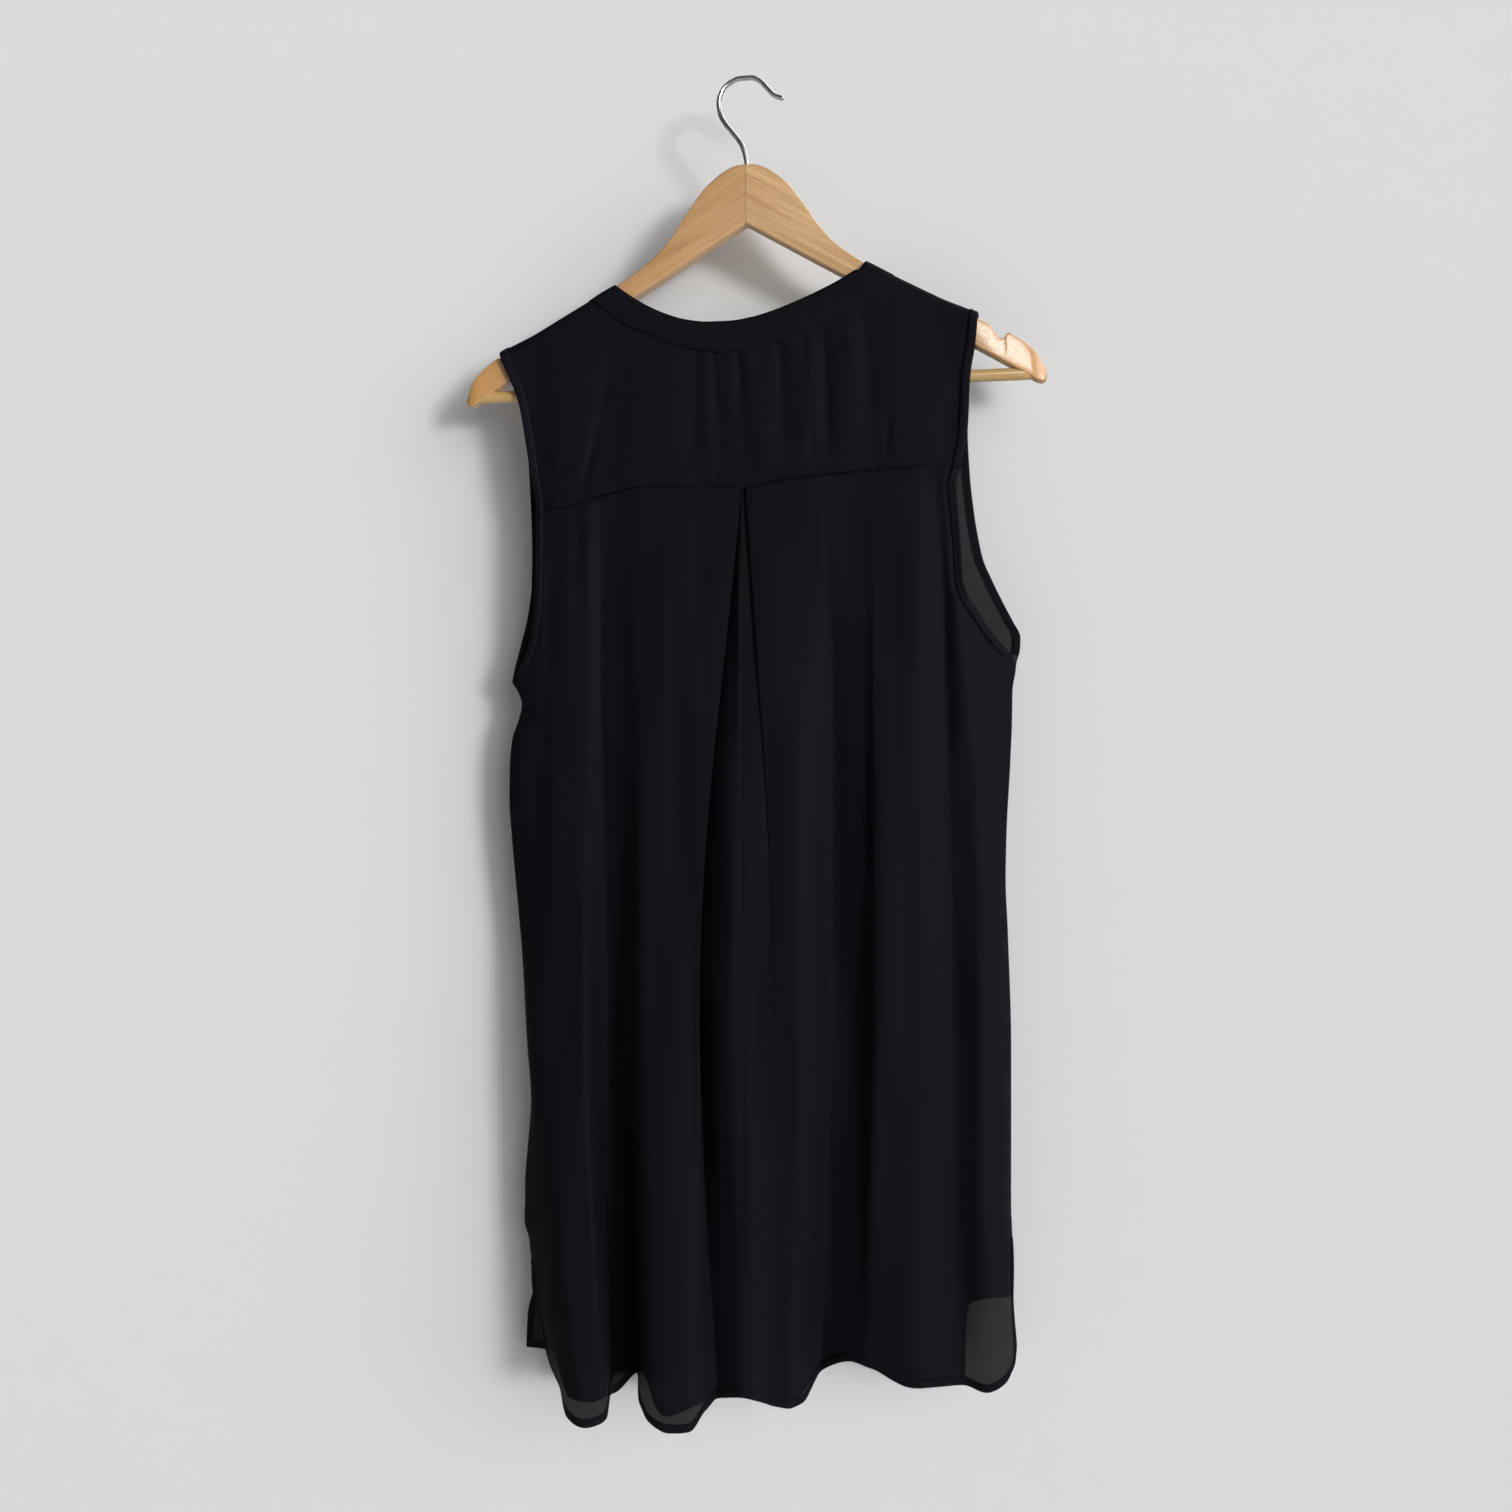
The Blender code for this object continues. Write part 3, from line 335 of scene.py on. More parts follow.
def hanging_depth(x, z, side):
    """y of the cloth at x and z, side -1 for the back and +1 for the front: round the turn, then
    straight to the yoke seam or the bust line."""
    if side < 0:
        low = smooth(column(YOKE_SEAM, 0), np.array(YOKE_SEAM)[:, 1:], x)
        low_y, low_z = low[..., 0], low[..., 1]
    else:
        low_y = smooth(column(FRONT_FOLDS, 1), column(FRONT_FOLDS, 4), x)
        low_z = BUST
    radius = turn_radius(x)
    start = turn_end(x)
    share = np.clip((start - z) / (start - low_z), 0.0, 1.0)
    straight = side * radius + (low_y - side * radius) * share
    turn = side * np.sqrt(np.maximum(radius ** 2 - (z - start) ** 2, 0.0))
    return np.where(z > start, turn, straight)


# ---------------------------------------------------------------- edges and panels
def edge_table(armhole, side, vent, seam_y):
    """One outline (z, x, y) from armhole, side seam and vent."""
    return np.array(list(armhole) + [(z, x, seam_y) for z, x in side] + list(vent), float)


def edge_at(outline, z):
    """x and y of a panel's edge at height z."""
    return smooth(-outline[:, 0], outline[:, 1:], -z)


HALF_GAP = SEAM_GAP / 2
SIDE_HALF = CLOTH_WALL / 2 + 0.12
BACK_LEFT = edge_table(BACK_ARMHOLE_LEFT, SIDE_LEFT, BACK_VENT_LEFT, -SIDE_HALF)
BACK_RIGHT = edge_table(BACK_ARMHOLE_RIGHT, SIDE_RIGHT, BACK_VENT_RIGHT, -SIDE_HALF)
FRONT_LEFT = edge_table(FRONT_ARMHOLE_LEFT, SIDE_LEFT, FRONT_VENT_LEFT, SIDE_HALF)
FRONT_RIGHT = edge_table(FRONT_ARMHOLE_RIGHT, SIDE_RIGHT, FRONT_VENT_RIGHT, SIDE_HALF)


def across(lines, u):
    """Surface through fold lines, as (points along, len(u), values)."""
    return np.swapaxes(smooth(np.linspace(0.0, 1.0, len(lines)), lines, u), 0, 1)


def between_edges(lines, left, right):
    """Fold lines with the panel's two edges put round them."""
    lines = np.array(lines)
    number = np.arange(1, len(lines) + 1)[:, None] * EDGE_STEP
    lines[..., 0] = np.clip(lines[..., 0], left[:, 0] + number, right[:, 0] - number[::-1])
    return np.concatenate([left[None], lines, right[None]])


def back_surface(t, u):
    """Back panel: t is the share of the way from yoke seam to hem, u runs left to right. A cubic
    goes across through all the fold lines, and each line is a cubic through seam, waist, hem."""
    seam = np.array(YOKE_SEAM)
    lines = []
    for name, x_seam, x_waist, x_hem, tuck, y_waist, y_hem, z_hem in BACK_FOLDS:
        y_seam, z_seam = smooth(seam[:, 0], seam[:, 1:], x_seam)
        z_seam = z_seam - HALF_GAP
        xy = smooth((0, WAIST_SHARE, 1),
                    ((x_seam, y_seam + tuck), (x_waist, y_waist), (x_hem, y_hem)), t)
        lines.append(np.column_stack([xy, z_seam + (z_hem - z_seam) * t]))
    edges = []
    for outline, end in ((BACK_LEFT, 0), (BACK_RIGHT, -1)):
        z_seam = seam[end, 2] - HALF_GAP
        z = z_seam + (BACK_EDGE_HEM[end] - z_seam) * t
        edges.append(np.column_stack([edge_at(outline, z), z]))
    return across(between_edges(lines, *edges), u)


def front_lower_surface(t, u):
    """Front panel below the bust line: t is the share of the way to the hem."""
    lines = []
    for name, x_bust, x_waist, x_hem, y_bust, y_waist, y_hem, z_hem in FRONT_FOLDS:
        z = BUST + (z_hem - BUST) * t
        xy = smooth((-BUST, -WAIST, -z_hem),
                    ((x_bust, y_bust), (x_waist, y_waist), (x_hem, y_hem)), -z)
        lines.append(np.column_stack([xy, z]))
    edges = []
    for outline, end in ((FRONT_LEFT, 0), (FRONT_RIGHT, -1)):
        z = BUST + (FRONT_EDGE_HEM[end] - BUST) * t
        edges.append(np.column_stack([edge_at(outline, z), z]))
    return across(between_edges(lines, *edges), u)


def hanging_surface(share, x_top, x_low, z_low, z_neck, side, outlines, edge_share):
    """Cloth from the shoulders and the neck down to a level: share is the way down, measured
    round the turn over the arm. The edge columns keep to the outlines."""
    share = np.asarray(share, float)[:, None]
    x = x_top + (x_low - x_top) * share
    radius = turn_radius(x)
    quarter = radius * math.pi / 2
    above = (z_neck - turn_end(x_top)) / turn_radius(x_top)
    start = radius * np.arccos(np.clip(above, 0.0, 1.0)) - radius * np.minimum(above, 0.0)
    over = (x_top <= NECK_TURN[0][1][1]) | (x_top >= NECK_TURN[1][1][1])
    start = np.where(over, HALF_GAP, start)
    s = start + (quarter + turn_end(x) - z_low - start) * share
    turn = radius * np.cos(np.minimum(s / radius, math.pi / 2))
    z = turn_end(x) + turn - np.maximum(s - quarter, 0)
    for outline, weight, end in zip(outlines, edge_share, (0, -1)):
        offset = edge_at(outline, z[:, end])[:, 0] - x[:, end]
        x = x + offset[:, None] * weight
    return np.stack([x, hanging_depth(x, z, side), z], axis=-1)


def edge_weights(u, folds):
    """How far each column follows the left and the right outline."""
    return np.clip(1 - u * (folds - 1), 0, 1), np.clip(1 - (1 - u) * (folds - 1), 0, 1)


def turn_rows(end):
    """Rows of the neckband over one shoulder, from the turn's end up to the ridge."""
    (inner_end, outer_end), (inner_ridge, outer_ridge) = NECK_TURN[end]
    rise = np.cos(np.linspace(math.pi / 2, 0.0, TURN_ROWS))
    inner = inner_end + (inner_ridge - inner_end) * rise
    outer = outer_end + (outer_ridge - outer_end) * rise
    return np.column_stack([inner, turn_end(inner) + turn_radius(inner) * rise,
                            outer, turn_end(outer) + turn_radius(outer) * rise])


def band_rows(rows, parts, rounded):
    """Inner x, z and outer x, z of the neckband from the left ridge to the right one."""
    index = np.arange(len(rows))
    fine = np.linspace(0, len(rows) - 1, (len(rows) - 1) * parts + 1)
    rows = np.array(rows, float)
    middle = smooth(index, rows, fine) if rounded else np.column_stack(
        [np.interp(fine, index, rows[:, k]) for k in range(4)])
    return np.vstack([turn_rows(0)[::-1], middle, turn_rows(1)])


def under_neckband(x, rows):
    """Height of a panel's top at x, so that it reaches BAND_OVERLAP under the neckband."""
    z = np.interp(x, rows[:, 2], rows[:, 3])
    rise = np.clip((z - turn_end(x)) / turn_radius(x), 0.0, 0.98)
    return z + BAND_OVERLAP * np.sqrt(1 - rise ** 2)


def yoke_surface(share, u):
    """Yoke: from the ridge, or the back neck, down to the yoke seam. Each column's dent is a
    parabola that is deepest half way down."""
    ends = ((BACK_ARMHOLE_LEFT[0][1], YOKE_SEAM[0][0], 0.0),
            (BACK_ARMHOLE_RIGHT[0][1], YOKE_SEAM[-1][0], 0.0))
    rows = np.array([ends[0]] + [row[1:] for row in YOKE_CREASES] + [ends[1]], float)
    x_top, x_low, dent = smooth(np.linspace(0, 1, len(rows)), rows, u).T
    seam = np.array(YOKE_SEAM)
    z_low = smooth(seam[:, 0], seam[:, 2], x_low) + HALF_GAP
    z_neck = under_neckband(x_top, band_rows(NECK_BACK, 12, True))
    grid = hanging_surface(share, x_top, x_low, z_low, z_neck, -1, (BACK_LEFT, BACK_RIGHT),
                           edge_weights(u, len(rows)))
    way = np.asarray(share, float)[:, None]
    grid[..., 1] += dent * 4 * way * (1 - way)
    return grid


def front_surface(share, t, u):
    """Front panel: share is the way from its top to the bust line, t the way on to the hem."""
    below = front_lower_surface(t, u)
    x_low = below[0, :, 0]
    weights = edge_weights(u, len(FRONT_FOLDS) + 2)
    tips = (FRONT_ARMHOLE_LEFT[0][1], FRONT_ARMHOLE_RIGHT[0][1])
    x_top = np.interp(x_low, column(FRONT_TOP, 0), column(FRONT_TOP, 1))
    x_top = x_top + (tips[0] - x_top[0]) * weights[0] + (tips[1] - x_top[-1]) * weights[1]
    z_neck = under_neckband(x_top, band_rows(NECK_FRONT, 12, False))
    above = hanging_surface(share, x_top, x_low, BUST, z_neck, 1, (FRONT_LEFT, FRONT_RIGHT), weights)
    return np.concatenate([above, below[1:]])


# ---------------------------------------------------------------- small forms on the panels
def creases(grid, table):
    """Sum of the table's creases at each point: depth times a bell across the line between the
    two ends, faded in and out along it."""
    x, z = grid[..., 0], grid[..., 2]
    total = np.zeros_like(x)
    for name, x_top, z_top, x_foot, z_foot, depth, half_width in table:
        along = np.array([x_foot - x_top, z_foot - z_top])
        length = np.hypot(*along)
        along = along / length
        run = ((x - x_top) * along[0] + (z - z_top) * along[1]) / length
        off = (x - x_top) * along[1] - (z - z_top) * along[0]
        window = ease(run / 0.3 + 0.15) * ease((1 - run) / 0.3 + 0.15)
        total += depth * np.exp(-(off / half_width) ** 2) * window
    return total


def sway(grid, share):
    """Slow waves: a sum of sines in x and z, times share."""
    x, z = grid[..., 0], grid[..., 2]
    waves = sum(size * np.sin(2 * math.pi * (x / across_length + z / down_length) + phase)
                for size, across_length, down_length, phase in SWAY)
    return waves * share


def seam_puckers(x, distance, reach, size):
    """Fine ripples beside a seam: two sines along it, fading out with the distance from it."""
    ripple = np.sin(x * 1.05 + 1.7 * np.sin(x * 0.11)) + 0.6 * np.sin(x * 0.57 + 1.1)
    return size * ripple * np.exp(-np.abs(distance) / reach)


def run_lengths(grid, axis):
    """Length run along the grid's lines of that axis, from zero."""
    step = np.linalg.norm(np.diff(grid, axis=axis), axis=2)
    start = np.zeros_like(np.take(step, [0], axis=axis))
    return np.concatenate([start, np.cumsum(step, axis=axis)], axis=axis)


def length_to_end(panel):
    """Length along the cloth from each point down to the panel's last row."""
    lengths = run_lengths(panel, 0)
    return lengths[-1] - lengths


def hem_form(x, to_hem, outward):
    """Depth added near a hem: puckers along its stitching, and a bell of doubled cloth below it,
    outward -1 on the back and +1 on the front."""
    swell = HEM_SWELL * np.exp(-((to_hem - 2.5) / 3.0) ** 2)
    return seam_puckers(x * 0.8, to_hem - HEM_WIDTH, 4.0, 0.22) + outward * swell


def normals(grid):
    """Unit normals of a grid: cross product of its two directions, pointing to -y for a grid
    that runs down and to the right."""
    down = np.gradient(grid, axis=0)
    right = np.gradient(grid, axis=1)
    normal = np.cross(right, down)
    return normal / np.maximum(np.linalg.norm(normal, axis=2, keepdims=True), 1e-9)


# Section of a tight fold: distance from the edge, and how far the turned part lies off the panel.
FOLD_STEPS = np.array([0.0, 0.12, 0.4, 1.2, 2.6, 4.2])
FOLD_LIFT = np.array([0.0, 0.5, 0.75, 0.85, 0.85, 0.85, 0.8])


def at_distance(values, distance, steps):
    """A grid's values where distance, which falls to zero at the last row, equals each step: a
    straight share between the two rows on either side."""
    after = np.clip((distance[None] > steps[:, None, None]).sum(axis=1), 1, len(distance) - 1)
    place = np.arange(distance.shape[1])
    before_distance, after_distance = distance[after - 1, place], distance[after, place]
    share = (before_distance - steps[:, None]) / (before_distance - after_distance)
    share = share[..., None]
    return values[after - 1, place] * (1 - share) + values[after, place] * share


def folded_back(panel, lean, width, inward):
    """Strip of cloth folded tightly round a panel's last row and laid against it, width wide.
    inward is +1 where it lies against the lean and -1 where it lies with it."""
    steps = np.append(FOLD_STEPS, width)
    distance = length_to_end(panel)
    lift = inward * FOLD_LIFT[:, None, None]
    return at_distance(panel, distance, steps) - lift * at_distance(lean, distance, steps)


def turned_hem(panel, width, inward):
    """Hem turned up inside the panel."""
    return folded_back(panel, normals(panel), width, inward)


def edge_facing(panel, from_right, width, inward, rows=slice(None)):
    """Strip inside a panel along one of its sides."""
    lean = normals(panel)[rows].swapaxes(0, 1)
    panel = panel[rows].swapaxes(0, 1)
    if not from_right:
        panel, lean = panel[::-1], lean[::-1]
    return folded_back(panel, lean, width, inward).swapaxes(0, 1)


# ---------------------------------------------------------------- meshes
def add_mesh(name, grids, material, node, wall=0.0, closed=False):
    """One object from grids of points in millimetres. Each grid is a sheet of quads, and its UV
    map holds the lengths run along it in metres. closed joins a grid's last row to its first."""
    points, faces, uvs = [], [], []
    first = 0
    for grid in grids:
        rows, columns = grid.shape[:2]
        index = np.arange(rows * columns).reshape(rows, columns) + first
        first += rows * columns
        if closed:
            index = np.vstack([index, index[:1]])
        quads = np.stack([index[:-1, :-1], index[:-1, 1:], index[1:, 1:], index[1:, :-1]], axis=-1)
        faces.append(quads.reshape(-1, 4))
        points.append(grid.reshape(-1, 3))
        uvs.append(np.stack([run_lengths(grid, 1), run_lengths(grid, 0)], axis=-1).reshape(-1, 2))
    points, faces = np.concatenate(points) * MM, np.concatenate(faces)
    mesh = bpy.data.meshes.new(name)
    mesh.vertices.add(len(points))
    mesh.vertices.foreach_set("co", points.ravel())
    mesh.loops.add(faces.size)
    mesh.loops.foreach_set("vertex_index", faces.ravel())
    mesh.polygons.add(len(faces))
    mesh.polygons.foreach_set("loop_start", np.arange(len(faces)) * 4)
    mesh.update(calc_edges=True)
    layer = mesh.uv_layers.new(name="cloth")
    layer.data.foreach_set("uv", (np.concatenate(uvs)[faces.ravel()] * MM).ravel())
    mesh.shade_smooth()
    mesh.validate()
    mesh.materials.append(material)
    piece = bpy.data.objects.new(name, mesh)
    bpy.context.scene.collection.objects.link(piece)
    if wall:
        shell = piece.modifiers.new("wall", "SOLIDIFY")
        shell.thickness = wall * MM
        shell.offset = 0.0
        shell.use_quality_normals = True
    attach(piece, "root")
    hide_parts(node)
    return piece


def capped(rings):
    """A tube of closed rings as one grid: the first point of each ring is repeated at its end."""
    return np.concatenate([rings, rings[:, :1]], axis=1)


def round_tube(path, radius, around, end_rings=6):
    """Tube round a path in the x-z plane: at each point a circle in the plane of the path's normal
    and the y axis. The radius runs to zero over the ends as a quarter circle."""
    tangent = np.gradient(path, axis=0)
    tangent /= np.linalg.norm(tangent, axis=1, keepdims=True)
    bend = np.linspace(0.0, math.pi / 2, end_rings)
    start = path[0] - tangent[0] * radius * 0.6 * np.cos(bend)[:, None]
    stop = path[-1] + tangent[-1] * radius * 0.6 * np.sin(bend)[:, None]
    path = np.vstack([start, path[1:-1], stop])
    tangent = np.vstack([np.repeat(tangent[:1], end_rings, 0), tangent[1:-1],
                         np.repeat(tangent[-1:], end_rings, 0)])
    size = np.concatenate([np.sin(bend), np.ones(len(path) - 2 * end_rings), np.cos(bend)]) * radius
    size = np.maximum(size, radius * 0.01)
    angle = np.linspace(0.0, 2 * math.pi, around, endpoint=False)
    side = np.column_stack([-tangent[:, 1], tangent[:, 0]])
    x = path[:, :1] + size[:, None] * side[:, :1] * np.cos(angle)
    z = path[:, 1:] + size[:, None] * side[:, 1:] * np.cos(angle)
    y = size[:, None] * np.sin(angle) * np.ones_like(x)
    return capped(np.stack([x, y, z], axis=-1))[:, ::-1]


def arm_stations():
    """Places along an arm: even up to the strap notch, closer over it, and along the round end
    as the squares of cosines, which crowd together at its tip."""
    quarter = np.linspace(0.0, math.pi / 2, 26)[1:]
    return np.concatenate([[ARM_JOINT], np.linspace(ARM_JOINT + 0.05, ARM_NOTCH_FROM, 180),
                           np.linspace(ARM_NOTCH_FROM + 0.6, ARM_LENGTH - ARM_ROUND_END - 0.3, 72),
                           ARM_LENGTH - ARM_ROUND_END * np.cos(quarter) ** 2])


def rounded_section(half_width, half_height, rounding):
    """y and z of a rectangle with a quarter of a circle at each corner, for every station."""
    angle = np.linspace(0.0, math.pi / 2, CORNER_POINTS) + np.arange(4)[:, None] * math.pi / 2
    angle = angle.ravel()
    sign_y = np.repeat((1, -1, -1, 1), CORNER_POINTS)
    sign_z = np.repeat((1, 1, -1, -1), CORNER_POINTS)
    y = sign_y * (half_width - rounding)[:, None] + rounding[:, None] * np.cos(angle)
    z = sign_z * (half_height - rounding)[:, None] + rounding[:, None] * np.sin(angle)
    return y, z


def hanger_arm(side):
    """One half of the hanger, side -1 for the left and +1 for the right. At each x stands an
    upright section between the top edge and the underside. Seen from above, the end narrows as an
    ellipse, and a parabola sweeps it towards the front."""
    along = arm_stations()
    tip = np.array(ARM_TIP_TOP)
    top = np.where(along < tip[0, 0], wood_top(along), smooth(tip[:, 0], tip[:, 1], along))
    under = np.array((ARM_APEX,) + ARM_UNDER_END)
    low = np.interp(along, under[:, 0], under[:, 1])
    half_height = np.maximum((top - low) / 2, 0.05)
    past = np.maximum(along - PLAN_ROUND_FROM, 0.0) / PLAN_ROUND_LENGTH
    narrowing = np.sqrt(np.clip(1 - past ** 2, 0.02, 1.0))
    half_width = WOOD_THICKNESS / 2 * (PLAN_END_SHARE + (1 - PLAN_END_SHARE) * narrowing)
    y, z = rounded_section(half_width, half_height, np.minimum(WOOD_ROUNDING, half_height))
    x = np.repeat(side * along[:, None], y.shape[1], axis=1)
    rings = np.stack([x, y, z + (top + low)[:, None] / 2], axis=-1)
    centre = rings.mean(axis=1, keepdims=True)
    points = centre + (rings - centre) * 0.001
    rings = np.concatenate([points[:1], rings, points[-1:]])
    reach = np.maximum(np.abs(rings[..., 0]) - END_SWEEP_FROM, 0.0) / END_SWEEP_LENGTH
    rings[..., 1] += END_SWEEP * reach ** 2
    grid = capped(rings)
    return grid if side > 0 else grid[:, ::-1]


def hook_wire():
    """The hook: a round wire along a smooth curve through the points of its path."""
    path = np.array(HOOK_PATH)
    steps = np.linalg.norm(np.diff(path, axis=0), axis=1)
    run = np.concatenate([[0.0], np.cumsum(steps)])
    return round_tube(smooth(run, path, np.linspace(0.0, run[-1], 160)), WIRE_RADIUS, 28)


def bar_dowel():
    """The trouser bar: a straight round dowel."""
    x = np.linspace(-BAR_HALF, BAR_HALF, 40)
    return round_tube(np.column_stack([x, np.full_like(x, BAR_HEIGHT)]), BAR_RADIUS, 40)


# ---------------------------------------------------------------- node groups and materials
CREPE = ((0.0084, 0.0079, 0.0128), (0.004, 0.0039, 0.0068))      # light and dark tone
# darker tones for the doubled yoke and neckband: doubled cloth, and painted shade darkening its
# colour
SHADED_DOUBLED_CREPE = ((0.0066, 0.0061, 0.0099), (0.0032, 0.0031, 0.0054))
OPACITY = 0.81
THREAD_OPACITY = 0.03
ARM_WOOD = ((0.73, 0.475, 0.235), (0.5, 0.27, 0.105), (0.68, 0.34, 0.11))    # pale, warm, ends
BAR_WOOD = ((0.66, 0.45, 0.2), (0.55, 0.35, 0.13), (0.6, 0.38, 0.14))
PORE_COLOUR = (0.22, 0.1, 0.035)


def node_group(name, inputs, outputs):
    """An empty shader group with named sockets: inputs as name: value, outputs as name: type."""
    group = bpy.data.node_groups.new(name, "ShaderNodeTree")
    for label, value in inputs.items():
        kind = "NodeSocketColor" if isinstance(value, tuple) else "NodeSocketFloat"
        socket = group.interface.new_socket(name=label, in_out="INPUT", socket_type=kind)
        socket.default_value = value
    for label, kind in outputs.items():
        group.interface.new_socket(name=label, in_out="OUTPUT", socket_type=kind)
    return group, group.nodes.new("NodeGroupInput"), group.nodes.new("NodeGroupOutput")


def noise(tree, vector, scale, detail, roughness=0.55, distortion=0.0):
    """Noise texture read at a vector."""
    node = tree.nodes.new("ShaderNodeTexNoise")
    node.inputs["Scale"].default_value = scale
    node.inputs["Detail"].default_value = detail
    node.inputs["Roughness"].default_value = roughness
    node.inputs["Distortion"].default_value = distortion
    tree.links.new(vector, node.inputs["Vector"])
    return node.outputs["Fac"]


def spread(tree, value, low, high, from_low=0.3, from_high=0.7):
    """Map Range from the noise's usual span to low..high."""
    node = tree.nodes.new("ShaderNodeMapRange")
    node.inputs["From Min"].default_value = from_low
    node.inputs["From Max"].default_value = from_high
    node.inputs["To Min"].default_value = low
    node.inputs["To Max"].default_value = high
    tree.links.new(value, node.inputs["Value"])
    return node.outputs["Result"]


def maths(tree, operation, first, second):
    """One step of arithmetic on two sockets or numbers."""
    node = tree.nodes.new("ShaderNodeMath")
    node.operation = operation
    for socket, value in zip(node.inputs, (first, second)):
        if isinstance(value, (int, float)):
            socket.default_value = value
        else:
            tree.links.new(value, socket)
    return node.outputs["Value"]


def mixed(tree, factor, first, second):
    """Two colours mixed, each a socket or a tuple."""
    node = tree.nodes.new("ShaderNodeMix")
    node.data_type = "RGBA"
    factor_socket, first_socket, second_socket = node.inputs["Factor"], node.inputs[6], node.inputs[7]
    tree.links.new(factor, factor_socket)
    for socket, value in ((first_socket, first), (second_socket, second)):
        if isinstance(value, tuple):
            socket.default_value = (*value, 1.0)
        else:
            tree.links.new(value, socket)
    return node.outputs[2]


def mapped(tree, down=1.0):
    """Object coordinates with z scaled by down, so that a pattern is drawn out along z."""
    coordinates = tree.nodes.new("ShaderNodeTexCoord")
    mapping = tree.nodes.new("ShaderNodeMapping")
    mapping.inputs["Scale"].default_value = (1.0, 1.0, down)
    tree.links.new(coordinates.outputs["Object"], mapping.inputs["Vector"])
    return mapping.outputs["Vector"]


def crepe_group():
    """Crepe: crinkled grain as height, a slow change of tone, and threads that let light by."""
    group, given, made = node_group("crepe_weave", {"Light": (0.02, 0.02, 0.025, 1.0),
                                                    "Dark": (0.01, 0.01, 0.013, 1.0)},
                                    {"Colour": "NodeSocketColor", "Height": "NodeSocketFloat",
                                     "Threads": "NodeSocketFloat", "Roughness": "NodeSocketFloat"})
    crinkle = noise(group, mapped(group, 0.45), 1050.0, 3.0, 0.6, 0.4)
    slub = noise(group, mapped(group, 0.12), 420.0, 2.0)
    slow = noise(group, mapped(group, 0.35), 9.0, 3.0)
    height = maths(group, "ADD", crinkle, maths(group, "MULTIPLY", slub, 0.5))
    tone = maths(group, "ADD", spread(group, slow, -0.25, 0.3), spread(group, crinkle, 0.05, 1.0))
    colour = mixed(group, tone, given.outputs["Dark"], given.outputs["Light"])
    group.links.new(colour, made.inputs["Colour"])
    group.links.new(height, made.inputs["Height"])
    group.links.new(spread(group, crinkle, -1.0, 1.0), made.inputs["Threads"])
    group.links.new(spread(group, slow, 0.62, 0.8), made.inputs["Roughness"])
    return group


def grain_group():
    """Lacquered wood: streaks and bands that follow each arm's slope, pores, a warm cast on the
    left half and towards the ends, and the lacquer's orange peel as height and as thickness."""
    group, given, made = node_group("lacquered_grain", {"Pale": (0.6, 0.38, 0.18, 1.0),
                                                        "Warm": (0.5, 0.26, 0.09, 1.0),
                                                        "Ends": (0.66, 0.33, 0.08, 1.0)},
                                    {"Colour": "NodeSocketColor", "Height": "NodeSocketFloat",
                                     "Peel": "NodeSocketFloat", "Lacquer": "NodeSocketFloat",
                                     "Roughness": "NodeSocketFloat"})
    coordinates = group.nodes.new("ShaderNodeTexCoord")
    parts = group.nodes.new("ShaderNodeSeparateXYZ")
    group.links.new(coordinates.outputs["Object"], parts.inputs["Vector"])
    distance = maths(group, "ABSOLUTE", parts.outputs["X"], 0.0)
    lean = maths(group, "MULTIPLY", parts.outputs["Z"], -0.2)
    along = maths(group, "MULTIPLY", maths(group, "ADD", parts.outputs["X"], lean), 0.07)
    through = maths(group, "MULTIPLY", parts.outputs["Y"], 0.8)
    across_grain = maths(group, "ADD", parts.outputs["Z"], maths(group, "MULTIPLY", distance, 0.57))
    straight = group.nodes.new("ShaderNodeCombineXYZ")
    for axis, value in (("X", along), ("Y", through), ("Z", across_grain)):
        group.links.new(value, straight.inputs[axis])
    streaks = noise(group, straight.outputs["Vector"], 210.0, 4.0, 0.6, 0.8)
    bands = noise(group, straight.outputs["Vector"], 46.0, 2.0, 0.5, 1.6)
    pores = noise(group, straight.outputs["Vector"], 900.0, 1.0)
    figure = maths(group, "ADD", spread(group, streaks, -0.1, 0.6), spread(group, bands, -0.1, 0.75))
    colour = mixed(group, figure, given.outputs["Pale"], given.outputs["Warm"])
    left_half = maths(group, "LESS_THAN", parts.outputs["X"], 0.0)
    colour = mixed(group, maths(group, "MULTIPLY", left_half, 0.5), colour, given.outputs["Warm"])
    end_share = spread(group, distance, 0.0, 0.75, 0.17, 0.215)
    colour = mixed(group, end_share, colour, given.outputs["Ends"])
    colour = mixed(group, spread(group, pores, 0.18, 0.0, 0.28, 0.42), colour, PORE_COLOUR)
    peel = noise(group, mapped(group), 620.0, 2.0)
    group.links.new(colour, made.inputs["Colour"])
    group.links.new(streaks, made.inputs["Height"])
    group.links.new(peel, made.inputs["Peel"])
    group.links.new(spread(group, peel, 0.45, 1.0), made.inputs["Lacquer"])
    group.links.new(spread(group, bands, 0.3, 0.42), made.inputs["Roughness"])
    return group


def placed_group(tree, group, **colours):
    """A node group placed in a material with its colours set."""
    node = tree.nodes.new("ShaderNodeGroup")
    node.node_tree = group
    for socket, colour in colours.items():
        node.inputs[socket].default_value = (*colour, 1.0)
    return node


def new_material(name, **values):
    """A material with its Principled shader's own sockets set to the values."""
    material = bpy.data.materials.new(name)
    material.use_nodes = True
    shader = material.node_tree.nodes["Principled BSDF"]
    for socket, value in values.items():
        shader.inputs[socket.replace("_", " ")].default_value = value
    return material, material.node_tree, shader


def bump(tree, height, strength, distance, before=None):
    """Normal from a height, laid over the normal before it if there is one."""
    node = tree.nodes.new("ShaderNodeBump")
    node.inputs["Strength"].default_value = strength
    node.inputs["Distance"].default_value = distance
    tree.links.new(height, node.inputs["Height"])
    if before is not None:
        tree.links.new(before, node.inputs["Normal"])
    return node.outputs["Normal"]


